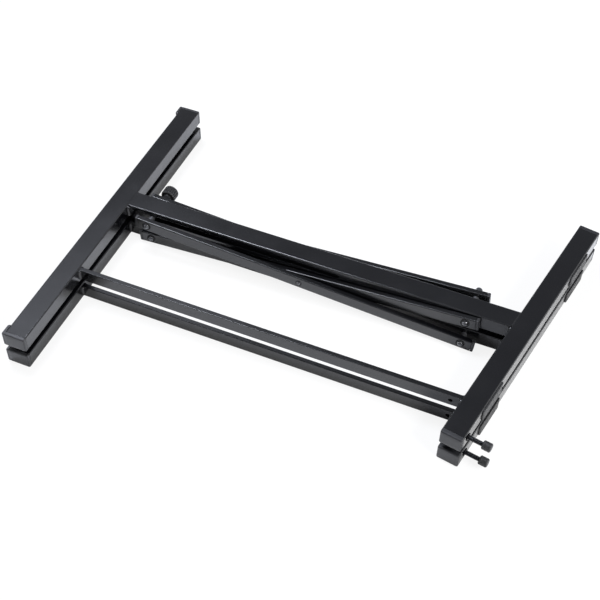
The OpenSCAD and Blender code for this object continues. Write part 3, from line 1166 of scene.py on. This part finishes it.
@dataclass
class ArmPads(FramePart):
    """The two flat rubber pads on the outer side of one arm."""

    length: float = 63.0
    thick: float = 2.5
    edge: float = 1.5
    ramp: float = 3.0
    corner: float = 3.0
    places: tuple[float, float] = (-145.0, 155.0)
    lip: float = 0.7
    stations: int = 48

    def build(self) -> None:
        """Builds and dresses both pads."""
        lay = self.layout
        for y, end in zip(self.places, End):
            place = lay.on_arm() @ Matrix.Translation((lay.tube_w, y, 0))
            name = f"arm_pad.{end.name.lower()}"
            self._add(self._pad(), name, PAD_RUBBER, Slot.RUBBER, "arm_pads", place, sharp_from=40.0)

    def _height(self, y: float) -> float:
        """Thickness of the pad at a distance from its middle."""
        past = max(0.0, y - (self.length / 2 - self.ramp)) / self.ramp
        return self.thick + (self.edge - self.thick) * past

    def _pad(self) -> Shape:
        """One pad: sections from end to end, each with a rounded top edge.

        Returns:
            The pad, with X out of the arm and Y along it.
        """
        half_len = self.length / 2
        rings = []
        for k in range(self.stations + 1):
            y = -half_len * math.cos(math.pi * k / self.stations)
            off = abs(y)
            half = self.layout.flat_h / 2 - round_off(off, half_len, self.corner)
            top = self._height(min(off, half_len - 0.01))
            lip = min(self.lip, top * 0.6)
            top -= round_off(off, half_len, lip)
            shoulder = max(top - lip, 0.05)
            bend = [(top - lip + lip * math.sin(a), half - lip + lip * math.cos(a)) for a in self._quarter()]
            section = [(0.0, -half), (shoulder, -half)]
            section += [(x, -z) for x, z in bend] + bend[::-1]
            section += [(shoulder, half), (0.0, half)]
            rings.append([Vector((x, y, z)) for x, z in section])
        return Shape().skin(rings)

    def _quarter(self) -> list[float]:
        """Angles across the pad's rounded edge."""
        return [math.pi / 2 * k / 5 for k in range(1, 6)]


@dataclass
class StopScrew(FramePart):
    """One arm's stop: threaded insert, stop screw and its rubber tip."""

    radius: float = 3.5
    stem: float = 22.5
    thread_pitch: float = 1.0
    thread_depth: float = 0.5
    thread_steps: int = 24
    steps_per_turn: int = 8
    tip_r: float = 6.75
    tip_len: float = 13.0
    tip_socket: float = 6.0
    groove_depth: float = 0.22
    grooves: tuple[float, float] = (4.0, 9.0)
    insert_depth: float = 12.0
    flange_r: float = 6.0
    flange_t: float = 1.0
    knurl_depth: float = 0.14
    knurl_pitch: int = 4
    knurl_steps: int = 96

    def build(self) -> None:
        """Builds and dresses the insert, the screw and the tip."""
        place = self.layout.on_arm() @ self.layout.on_stop()
        for shape, name, finish, slot, body in (
            (self._insert(), "stop_insert", INSERT_ZINC, Slot.HARDWARE, "frame"),
            (self._screw(), "stop_screw", THREAD_ZINC, Slot.HARDWARE, "stop"),
            (self._tip(), "stop_tip", TIP_RUBBER, Slot.RUBBER, "stop"),
        ):
            self._add(shape, name, finish, slot, name, place, body)

    def _insert(self) -> Shape:
        """The insert: a plain body with a knurled flange on the tube.

        Returns:
            The insert, with Z out of the arm.
        """
        bore = self.radius + 0.05
        body = self.layout.insert_r
        rim, top = self.flange_r, self.flange_t
        profile = [(bore, -self.insert_depth), (body - 0.5, -self.insert_depth), (body, 0.5 - self.insert_depth)]
        profile += [(body, 0.0), (rim - 0.15, 0.0), (rim, 0.15), (rim, top - 0.35), (rim - 0.35, top)]
        profile += [(bore + 0.4, top), (bore, top - 0.4)]

        def knurl(place: int, spoke: int) -> float:
            """Depth of the knurl's grooves, which only the flange's rim has."""
            return self.knurl_depth if profile[place][0] == rim and spoke % self.knurl_pitch == 0 else 0.0

        return Shape().turn(profile, self.knurl_steps, looped=True, carve=knurl)

    def _screw(self) -> Shape:
        """The screw with a real thread along its whole length.

        Returns:
            The screw, with Z out of the arm.
        """
        start = 1 - self.insert_depth
        stop = self.stem + self.tip_socket
        count = round((stop - start) / self.thread_pitch * self.steps_per_turn)
        heights = [start + (stop - start) * k / count for k in range(count + 1)]

        def thread(place: int, spoke: int) -> float:
            """Depth of the thread, which runs out at both ends.

            Args:
                place: number of a place along the screw.
                spoke: number of a point round it.

            Returns:
                The depth there.
            """
            z = heights[place]
            fade = min(1.0, (z - start) / 1.5, (stop - z) / 0.8)
            wave = (z / self.thread_pitch - spoke / self.thread_steps) % 1.0
            return self.thread_depth * (1 - min(1.0, 2.6 * min(wave, 1 - wave)) * fade)

        return Shape().turn([(self.radius, z) for z in heights], self.thread_steps, carve=thread)

    def _tip(self) -> Shape:
        """The rubber tip: chamfered rims, two moulded grooves and a socket for the screw.

        Returns:
            The tip at the screw's end.
        """
        r = self.tip_r
        top = self.tip_len
        floor = r - self.groove_depth
        socket_r = self.radius + 0.05
        socket_end = self.tip_socket + 0.05
        rim = [(r - 1.3, 0.0), (r - 1.0, 0.08), (r - 0.12, 1.05), (r, 1.35)]
        profile = [(socket_r, 0.0), *rim]
        for middle in self.grooves:
            profile += [(r, middle - 0.45), (floor, middle - 0.2), (floor, middle + 0.2), (r, middle + 0.45)]
        profile += [(x, top - z) for x, z in rim[::-1]]
        profile += [(0.4, top), (0.4, socket_end), (socket_r, socket_end)]
        return Shape().turn(profile, ROUND_STEPS, looped=True).moved(Matrix.Translation((0, 0, self.stem)))


@dataclass
class AxleHardware:
    """Turned and pressed fasteners of the stand, each drawn along its own axle."""

    layout: Layout = LAYOUT
    head_r: float = 7.0
    head_h: float = 3.0
    dome_r: float = 4.9
    flange_bore: float = 5.3
    flange_h: float = 1.2
    nut_flats: float = 12.0
    nut_h: float = 6.0
    nut_dome: float = 6.0
    shank_out: float = 4.0
    washer_r: float = 7.0
    sleeve_r: float = 5.0
    rivet_r: float = 3.0
    rivet_dome_r: float = 3.8
    rivet_rim_r: float = 5.0
    rivet_rim_h: float = 0.7
    rivet_head_h: float = 2.4
    fine_steps: int = 64
    nut_steps: int = 72

    def bolt(self, front: float, rear: float) -> Shape:
        """A bolt with a button head, without the flange round it.

        Args:
            front: distance of the head's seat in front of the centre plane.
            rear: distance of the shank's end behind it.

        Returns:
            The bolt, with Z to the rear.
        """
        cap = self.dome_r
        shank = self.layout.bolt_r
        profile = [(x, -front - self.flange_h - z) for x, z in dome_line(cap, self.head_h, 10)]
        profile += [(cap + 0.05, -front - 0.9), (cap - 0.1, -front), (shank, -front)]
        profile += [(shank, rear - 0.5), (shank - 0.5, rear)]
        return Shape().turn(profile, self.fine_steps)

    def flange(self, front: float) -> Shape:
        """The flange round a bolt's head, whose near-black finish paints the shade round the dome.

        Args:
            front: distance of the head's seat in front of the centre plane.

        Returns:
            The flange as a ring with a rounded outer edge.
        """
        r, h, bore = self.head_r, self.flange_h, self.flange_bore
        profile = [(bore, 0.0), (bore, h - 0.3), (bore + 0.3, h)]
        profile += arc((r - 0.5, h - 0.5), 0.5, 90, 0, 4) + [(r, 0.15), (r - 0.15, 0.0)]
        return Shape().turn([(x, -front - z) for x, z in profile], self.fine_steps, looped=True)

    def cap_nut(self, seat: float) -> Shape:
        """A domed cap nut.

        Args:
            seat: distance of its seat behind the centre plane.

        Returns:
            The nut, with Z to the rear.
        """
        flats = self.nut_flats / 2
        corner = flats / math.cos(math.pi / 6)
        top = self.nut_h
        body = Shape().prism(arc((0, 0), corner, 0, 300, 5), 0, top)
        barrel = [(0.5, 0.0), (flats - 0.1, 0.0), (corner + 0.05, 0.5)]
        barrel += [(corner + 0.05, top - 0.6), (flats - 0.25, top), (0.5, top)]
        body.common(Shape().turn(barrel, self.nut_steps))
        r = flats - 0.2
        spring = top + 0.5
        dome = [(0.5, top - 0.8), (r - 0.4, top - 0.8), (r - 0.4, top + 0.1), (r, spring)]
        for degrees in range(8, 89, 8):
            angle = math.radians(degrees)
            dome.append((r * math.cos(angle), spring + (self.nut_dome - 0.5) * math.sin(angle)))
        body.fuse(Shape().turn(dome, self.nut_steps))
        bore = self.layout.bore_r
        body.cut(Shape().turn([(bore, -1.0), (bore, self.shank_out), (0.3, self.shank_out + 0.8)], 48))
        return body.moved(Matrix.Translation((0, 0, seat)))

    def spacers(self, front: float, rear: float, sliding: bool) -> Shape:
        """The rings between a column and its bars on one axle.

        Args:
            front: near side of the front bar on this axle.
            rear: near side of the rear bar.
            sliding: the rings sit against the bars and clear the column.

        Returns:
            Both rings as one shape.
        """
        lay = self.layout
        shape = Shape()
        for sign, near in ((-1, front), (1, rear)):
            length = near - lay.turn_play - lay.half_w
            radius = self.sleeve_r if length > lay.side_gap else self.washer_r
            low = near - length if sliding else lay.half_w
            ends = sorted((sign * low, sign * (low + length)))
            shape.turn(collar(lay.bore_r, radius, *ends), ROUND_STEPS, looped=True)
        return shape

    def rivet(self) -> Shape:
        """A centre rivet: domed head on the outer bar, collar behind the inner bar.

        Returns:
            The rivet, with Z inward.
        """
        lay = self.layout
        face = -lay.outer_far
        back = lay.turn_play - lay.inner_near
        r = self.rivet_rim_r
        profile = [(x, face - z) for x, z in dome_line(self.rivet_dome_r, self.rivet_head_h, 9)]
        profile += [(self.rivet_r, face), (self.rivet_r, back)]
        profile += [(r - 0.3, back), (r - 0.2, back + 0.3), (r - 1.2, back + 0.6)]
        return Shape().turn(profile, ROUND_STEPS)

    def rivet_rim(self) -> Shape:
        """The rim round a centre rivet's dome, whose near-black finish paints the shade round the dome.

        Returns:
            The rim as a ring.
        """
        face = -self.layout.outer_far
        top = face - self.rivet_rim_h
        bore = self.rivet_dome_r + 0.2
        r = self.rivet_rim_r
        profile = [(bore, face), (bore, top + 0.2), (bore + 0.2, top), (r - 0.4, top), (r, top + 0.4), (r, face)]
        return Shape().turn(profile, ROUND_STEPS, looped=True)

    def centre_washer(self) -> Shape:
        """The washer between the two bars at a centre rivet.

        Returns:
            The washer.
        """
        lay = self.layout
        low = -lay.outer_near
        section = collar(self.rivet_r + 0.05, self.washer_r, low, low + lay.side_gap - lay.turn_play)
        return Shape().turn(section, ROUND_STEPS, looped=True)


@dataclass
class ScissorBar:
    """One flat bar of the scissor, with its two end plugs."""

    name: str
    body: str
    middle_y: float
    level: Side
    rising: bool
    layout: Layout = LAYOUT
    wall: float = 1.2
    corner: float = 1.5
    reach: float = 21.0
    plug_t: float = 5.0
    plug_in: float = 8.0
    plug_round: float = 1.3
    plug_seam: float = 0.55
    edge_break: float = 0.22

    def build(self) -> None:
        """Builds and dresses the bar and its plugs."""
        lay = self.layout
        turn = -lay.fold_angle if self.rising else lay.fold_angle
        place = lay.at_frame(self.level) @ Matrix.Translation((lay.slide_at, self.middle_y, 0))
        place = place @ Matrix.Rotation(turn, 4, "Y")
        place_piece(self._tube(), self.name, BAR_SHADED_COAT, self.body, [self.name], place)
        nodes = [f"{self.name}_plugs"]
        for label, x, quarter in (("near", 0.0, math.pi / 2), ("far", lay.bar_len, -math.pi / 2)):
            spot = place @ Matrix.Translation((x, 0, 0)) @ Matrix.Rotation(quarter, 4, "Z")
            spot = spot @ Matrix.Translation((0, self.reach - self.plug_t, 0))
            place_piece(self._plug(), f"{self.name}_plug.{label}", PLUG_PLASTIC, self.body, nodes, spot)

    def _tube(self) -> Shape:
        """The bar's tube with its three bores.

        Returns:
            The tube, with X along the bar from its slide.
        """
        lay = self.layout
        low = self.plug_t - self.reach
        high = lay.bar_len + self.reach - self.plug_t
        tube = Shape().hollow(
            *tube_outlines(lay.bar_t, lay.bar_h, self.corner, self.wall, 6),
            lambda u, v: Vector((low, u, v)),
            lambda u, v: Vector((high, u, v)),
        )
        bores = []
        for x in (0.0, lay.bar_len / 2, lay.bar_len):
            through = Matrix.Translation((x, 0, 0)) @ FACING_FRONT
            bores.append(drill(lay.bore_r, -lay.bar_t, lay.bar_t).moved(through))
        return tube.cut(*bores).soften(self.edge_break)

    def _plug(self) -> Shape:
        """An end plug: a head with a rounded rim and a dark seam to the bar, and its stem in the bar.

        Returns:
            The plug, with Y out of the bar.
        """
        lay = self.layout
        stem = self.wall + 0.6
        seam = self.plug_seam
        stations = [(-self.plug_in, stem), (seam - 0.05, stem), (seam, 0.2), (seam + 0.2, 0.0)]
        stations.append((self.plug_t - self.plug_round, 0.0))
        for k in range(1, 6):
            angle = math.pi / 2 * k / 5
            y = self.plug_t - self.plug_round * (1 - math.sin(angle))
            stations.append((y, self.plug_round * (1 - math.cos(angle))))
        return drawn_in(lay.bar_t, lay.bar_h, stations, (self.corner, 0.5, 0.7), 6)


@dataclass
class Scissor:
    """The four bars that join the two columns, with their bolts, sleeves and centre rivets."""

    layout: Layout = LAYOUT
    hardware: AxleHardware = field(default_factory=AxleHardware)
    knob_bolt_end: float = 17.5

    def build(self) -> None:
        """Builds the bars, then the hardware on the five axles."""
        lay = self.layout
        outer = (lay.outer_near + lay.outer_far) / 2
        inner = (lay.inner_near + lay.inner_far) / 2
        ScissorBar("front_outer_bar", "first_bars", -outer, Side.UPPER, False).build()
        ScissorBar("rear_inner_bar", "first_bars", inner, Side.UPPER, False).build()
        ScissorBar("front_inner_bar", "second_bars", -inner, Side.LOWER, True).build()
        ScissorBar("rear_outer_bar", "second_bars", outer, Side.LOWER, True).build()
        self._fixed_pivots()
        self._slides()
        self._centres()

    def _add(
        self,
        shape: Shape,
        name: str,
        body: str,
        place: Matrix,
        finish: Finish = BOLT_ZINC,
        label: str = "turned",
    ) -> None:
        """Places one piece of hardware that stands for the CAD node of its own name."""
        place_piece(shape, f"{name}.{label}", finish, body, [name], place, sharp_from=28.0)

    def _add_bolt(self, name: str, body: str, place: Matrix, front: float, rear: float) -> None:
        """Places a bolt and the flange round its head, whose near-black finish paints the shade round the dome."""
        self._add(self.hardware.bolt(front, rear), name, body, place)
        # the flange's near-black finish is painted shade round the bolt's dome
        self._add(self.hardware.flange(front), name, body, place, FLANGE_PAINTED_SHADE, "flange")

    def _fixed_pivots(self) -> None:
        """The bolt, nut and rings at each column's fixed pivot."""
        lay = self.layout
        kit = self.hardware
        play = lay.turn_play
        for side, near, far in (
            (Side.LOWER, lay.outer_far, lay.inner_far),
            (Side.UPPER, lay.inner_far, lay.outer_far),
        ):
            place = lay.at_frame(side) @ lay.on_pivot(lay.pivot_at)
            prefix = side.value
            body = f"{prefix}_frame"
            self._add_bolt(f"{prefix}_pivot_bolt", body, place, near + play, far + play + kit.shank_out)
            self._add(kit.cap_nut(far + play), f"{prefix}_pivot_nut", body, place)
            rings = kit.spacers(near - lay.bar_t, far - lay.bar_t, sliding=False)
            self._add(rings, f"{prefix}_pivot_spacers", body, place, HIDDEN_ZINC)

    def _slides(self) -> None:
        """The two bolts that run in the columns' slots, with their rings."""
        lay = self.layout
        kit = self.hardware
        place = lay.at_frame(Side.UPPER) @ lay.on_pivot(lay.slide_at)
        hub = lay.inner_far + lay.side_gap + lay.turn_play
        self._add_bolt("upper_slide_bolt", "first_bars", place, lay.outer_far, hub + self.knob_bolt_end)
        rings = kit.spacers(lay.outer_near, lay.inner_near, sliding=True)
        under_knob = collar(lay.bore_r, kit.washer_r, lay.inner_far, lay.inner_far + lay.side_gap)
        rings.turn(under_knob, ROUND_STEPS, looped=True)
        self._add(rings, "upper_slide_spacers", "first_bars", place, HIDDEN_ZINC)
        place = lay.at_frame(Side.LOWER) @ lay.on_pivot(lay.slide_at)
        self._add_bolt("lower_slide_bolt", "second_bars", place, lay.inner_far, lay.outer_far + kit.shank_out)
        self._add(kit.cap_nut(lay.outer_far), "lower_slide_nut", "second_bars", place)
        rings = kit.spacers(lay.inner_near, lay.outer_near, sliding=True)
        self._add(rings, "lower_slide_spacers", "second_bars", place, HIDDEN_ZINC)

    def _centres(self) -> None:
        """The centre rivets, with the washers between the bars."""
        lay = self.layout
        kit = self.hardware
        x = (lay.pivot_at + lay.slide_at) / 2
        z = (lay.middle(Side.LOWER) + lay.middle(Side.UPPER)) / 2
        for label, body, turn in (("front", "first_bars", -1), ("rear", "second_bars", 1)):
            place = lay.at_level(z) @ Matrix.Translation((x, 0, 0)) @ Matrix.Rotation(turn * math.pi / 2, 4, "X")
            self._add(kit.rivet(), f"{label}_centre_rivet", body, place)
            # the rim's near-black finish is painted shade round the rivet's dome
            self._add(kit.rivet_rim(), f"{label}_centre_rivet", body, place, FLANGE_PAINTED_SHADE, "rim")
            self._add(kit.centre_washer(), f"{label}_centre_washer", body, place, HIDDEN_ZINC)


@dataclass
class ClampKnob:
    """The fluted clamp knob on the upper slide bolt."""

    layout: Layout = LAYOUT
    radius: float = 12.25
    grip: float = 17.5
    base_r: float = 8.5
    hub_r: float = 7.0
    hub_len: float = 8.0
    rim: float = 3.0
    dish_r: float = 7.6
    dish: float = 0.6
    flutes: int = 20
    flute_depth: float = 1.25
    flute_sharpness: float = 2.2
    per_flute: int = 12
    rim_steps: int = 6
    bore_depth: float = 17.55

    def build(self) -> None:
        """Builds and dresses the knob."""
        lay = self.layout
        seat = lay.inner_far + lay.side_gap + lay.turn_play
        place = lay.at_frame(Side.UPPER) @ lay.on_pivot(lay.slide_at) @ Matrix.Translation((0, 0, seat))
        place_piece(self._knob(), "clamp_knob.fluted", KNOB_PLASTIC, "knob", ["clamp_knob"], place, 38.0)

    def _knob(self) -> Shape:
        """Hub, fluted grip, dished crown and the bore for the bolt.

        Returns:
            The knob, with Z away from the stand.
        """
        low = self.hub_len
        high = self.hub_len + self.grip
        bore = self.layout.bore_r
        base, hub = self.base_r, self.hub_r
        stations = [(bore, 0.0, 0.0), (base - 0.3, 0.0, 0.0), (base, 0.3, 0.0), (base - 0.05, 1.2, 0.0)]
        stations += [(hub + 0.35, 2.7, 0.0), (hub, 3.6, 0.0), (hub - 0.3, 5.0, 0.0)]
        stations += [(hub - 0.1, low - 0.5, 0.0), (hub + 0.8, low, 0.0)]
        rounding = []
        for k in range(self.rim_steps + 1):
            share = k / self.rim_steps
            angle = math.pi / 2 * share
            r = self.radius - self.rim + self.rim * math.sin(angle)
            rounding.append((r, self.rim * (1 - math.cos(angle)), share**2))
        stations += [(r, low + z, share) for r, z, share in rounding]
        stations.append((self.radius, (low + high) / 2, 1.0))
        stations += [(r, high - z, share) for r, z, share in rounding[::-1]]
        dish = self.dish_r
        stations += [(dish, high, 0.0), (dish - 0.5, high - 0.35, 0.0), (dish - 1.0, high - self.dish, 0.0)]
        stations += [(0.4, high - 0.45, 0.0), (0.4, self.bore_depth + 0.6, 0.0), (bore, self.bore_depth, 0.0)]

        def flute(place: int, spoke: int) -> float:
            """Depth of the flutes, which run out over both rims."""
            wave = 0.5 + 0.5 * math.cos(2 * math.pi * spoke / self.per_flute)
            return self.flute_depth * stations[place][2] * wave**self.flute_sharpness

        profile = [(r, z) for r, z, _ in stations]
        return Shape().turn(profile, self.flutes * self.per_flute, looped=True, carve=flute)


def dress_hidden_sleeves() -> None:
    """Gives a finish to the CAD nodes that stay: the bushes inside the columns."""
    for name in HIDDEN_SLEEVES:
        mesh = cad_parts[name].data
        mesh.materials.clear()
        mesh.materials.append(HIDDEN_ZINC.material())
        log.info("%s keeps its CAD mesh", name)


@dataclass(frozen=True)
class SoftLamp:
    """One soft lamp: a lit panel that faces a point, in metres and watts."""

    name: str
    at: Point
    watts: float
    width: float = 0.9
    height: float = 0.7
    aim: Point = (0.0, 0.0, 0.0)
    colour: Colour = WHITE

    def hang(self) -> None:
        """Hangs the lamp."""
        data = bpy.data.lights.new(self.name, "AREA")
        data.shape = "RECTANGLE"
        data.size = self.width
        data.size_y = self.height
        data.energy = self.watts
        data.color = self.colour
        lamp = bpy.data.objects.new(self.name, data)
        lamp.location = self.at
        lamp.rotation_euler = (Vector(self.aim) - Vector(self.at)).to_track_quat("-Z", "Y").to_euler()
        bpy.context.scene.collection.objects.link(lamp)


LAMPS = (
    SoftLamp("softbox_left", (-0.94, 0.47, 2.38), 62.0, colour=COOL_WHITE),
    SoftLamp("softbox_front", (-0.50, -1.30, 1.80), 2.5, width=1.3),
    SoftLamp("softbox_right", (1.45, -0.38, 1.15), 36.0, aim=(0.3, 0.0, 0.0)),
    SoftLamp("panel_right", (1.83, 1.30, 1.30), 11.0, width=2.0, height=1.5),
    SoftLamp("panel_rear", (-1.48, 1.18, 2.35), 3.3, width=1.2, height=0.8, colour=COOL_WHITE),
    SoftLamp("kicker_left", (-2.4, -1.6, 0.55), 18.0, width=1.0),
)


@dataclass
class Studio:
    """White floor, soft lamps, sky and the camera."""

    floor_half: float = 9.0
    floor_drop: float = 0.0002
    floor_white: float = 0.90
    white_seen: float = 0.86
    white_mirrored: float = 0.06
    fade_span: Flat = (0.8, 2.0)
    sky_span: Flat = (0.20, 0.80)
    sky_mirrored: Flat = (0.55, 0.26)
    sky_ambient: float = 0.20
    sky_tint: Colour = (0.94, 0.97, 1.05)
    camera_at: Point = (0.4308379, -1.1072736, 1.3412905)
    camera_right: Point = (0.91959588, 0.39267551, 0.01222098)
    camera_down: Point = (0.30046584, -0.68293050, -0.66582747)
    camera_ahead: Point = (-0.25310806, 0.61596418, -0.74600565)
    lens: float = 69.0
    sensor: float = 36.0

    def build(self) -> None:
        """Builds the stage, the lamps, the sky and the camera."""
        self._camera()
        self._floor()
        self._sky()
        for lamp in LAMPS:
            lamp.hang()
        log.info("studio ready")

    def _camera(self) -> None:
        """Stands the camera where the stand is seen from."""
        data = bpy.data.cameras.new("camera")
        data.lens = self.lens
        data.sensor_width = self.sensor
        data.sensor_fit = "HORIZONTAL"
        data.clip_start = 0.01
        data.clip_end = 60.0
        camera = bpy.data.objects.new("camera", data)
        right, down, ahead = (Vector(v) for v in (self.camera_right, self.camera_down, self.camera_ahead))
        turn = Matrix((right, -down, -ahead)).transposed().to_4x4()
        camera.matrix_world = Matrix.Translation(self.camera_at) @ turn
        bpy.context.scene.collection.objects.link(camera)
        bpy.context.scene.camera = camera

    def _floor(self) -> None:
        """Lays a white floor that keeps a faint shadow."""
        half = self.floor_half
        mesh = bpy.data.meshes.new("floor")
        mesh.from_pydata([(-half, -half, 0), (half, -half, 0), (half, half, 0), (-half, half, 0)], [], [(0, 1, 2, 3)])
        floor = bpy.data.objects.new("floor", mesh)
        floor.location.z = -self.floor_drop
        bpy.context.scene.collection.objects.link(floor)
        mesh.materials.append(self._floor_white())

    def _floor_white(self) -> bpy.types.Material:
        """Makes the floor's white: lit paper, with a glow for the camera that is complete far from the stand.

        Returns:
            The floor's material.
        """
        material = bpy.data.materials.new("floor_white")
        desk = NodeDesk(material)
        paper = desk.add("ShaderNodeBsdfDiffuse", {"Color": (self.floor_white,) * 3 + (1.0,)})
        glow = desk.add("ShaderNodeEmission", {"Color": (*WHITE, 1.0), "Strength": 1.0})
        path = desk.add("ShaderNodeLightPath").outputs
        direct = desk.calc("MULTIPLY", path["Is Camera Ray"], self.white_seen)
        mirrored = desk.calc("MULTIPLY", path["Is Glossy Ray"], self.white_mirrored)
        where = desk.add("ShaderNodeTexCoord").outputs["Object"]
        reach = desk.add("ShaderNodeVectorMath", {0: where}, operation="LENGTH").outputs["Value"]
        outer = desk.ease(reach, self.fade_span, (0.0, 1.0))
        far = desk.calc("MULTIPLY", path["Is Camera Ray"], outer)
        share = desk.calc("MAXIMUM", desk.calc("MAXIMUM", direct, mirrored), far)
        mix = desk.add("ShaderNodeMixShader", {0: share, 1: paper.outputs[0], 2: glow.outputs[0]})
        desk.add("ShaderNodeOutputMaterial", {"Surface": mix.outputs[0]})
        return material

    def _sky(self) -> None:
        """Makes the sky: white where it is seen, and in reflections brighter at the horizon than overhead."""
        world = bpy.data.worlds.new("sky")
        bpy.context.scene.world = world
        desk = NodeDesk(world)
        where = desk.add("ShaderNodeTexCoord").outputs["Generated"]
        height = desk.add("ShaderNodeSeparateXYZ", {0: where}).outputs["Z"]
        mirrored = desk.ease(height, self.sky_span, self.sky_mirrored)
        path = desk.add("ShaderNodeLightPath").outputs
        seen = desk.calc("MAXIMUM", path["Is Camera Ray"], path["Is Transmission Ray"])
        unseen = desk.blend(path["Is Glossy Ray"], self.sky_ambient, mirrored)
        inputs = {"Color": desk.tint(seen, self.sky_tint, WHITE), "Strength": desk.blend(seen, unseen, 1.0)}
        back = desk.add("ShaderNodeBackground", inputs)
        desk.add("ShaderNodeOutputWorld", {"Surface": back.outputs[0]})


def main() -> None:
    """Builds the studio and every sub-assembly in order."""
    logging.basicConfig(level=logging.INFO, format="%(name)s: %(message)s")
    bpy.context.scene.view_settings.view_transform = "Standard"
    Studio().build()
    for side in Side:
        for assembly in (TubeFrame, TubeCaps, ArmPads, StopScrew):
            assembly(side).build()
    Scissor().build()
    ClampKnob().build()
    dress_hidden_sleeves()


if __name__ == "__main__":
    main()
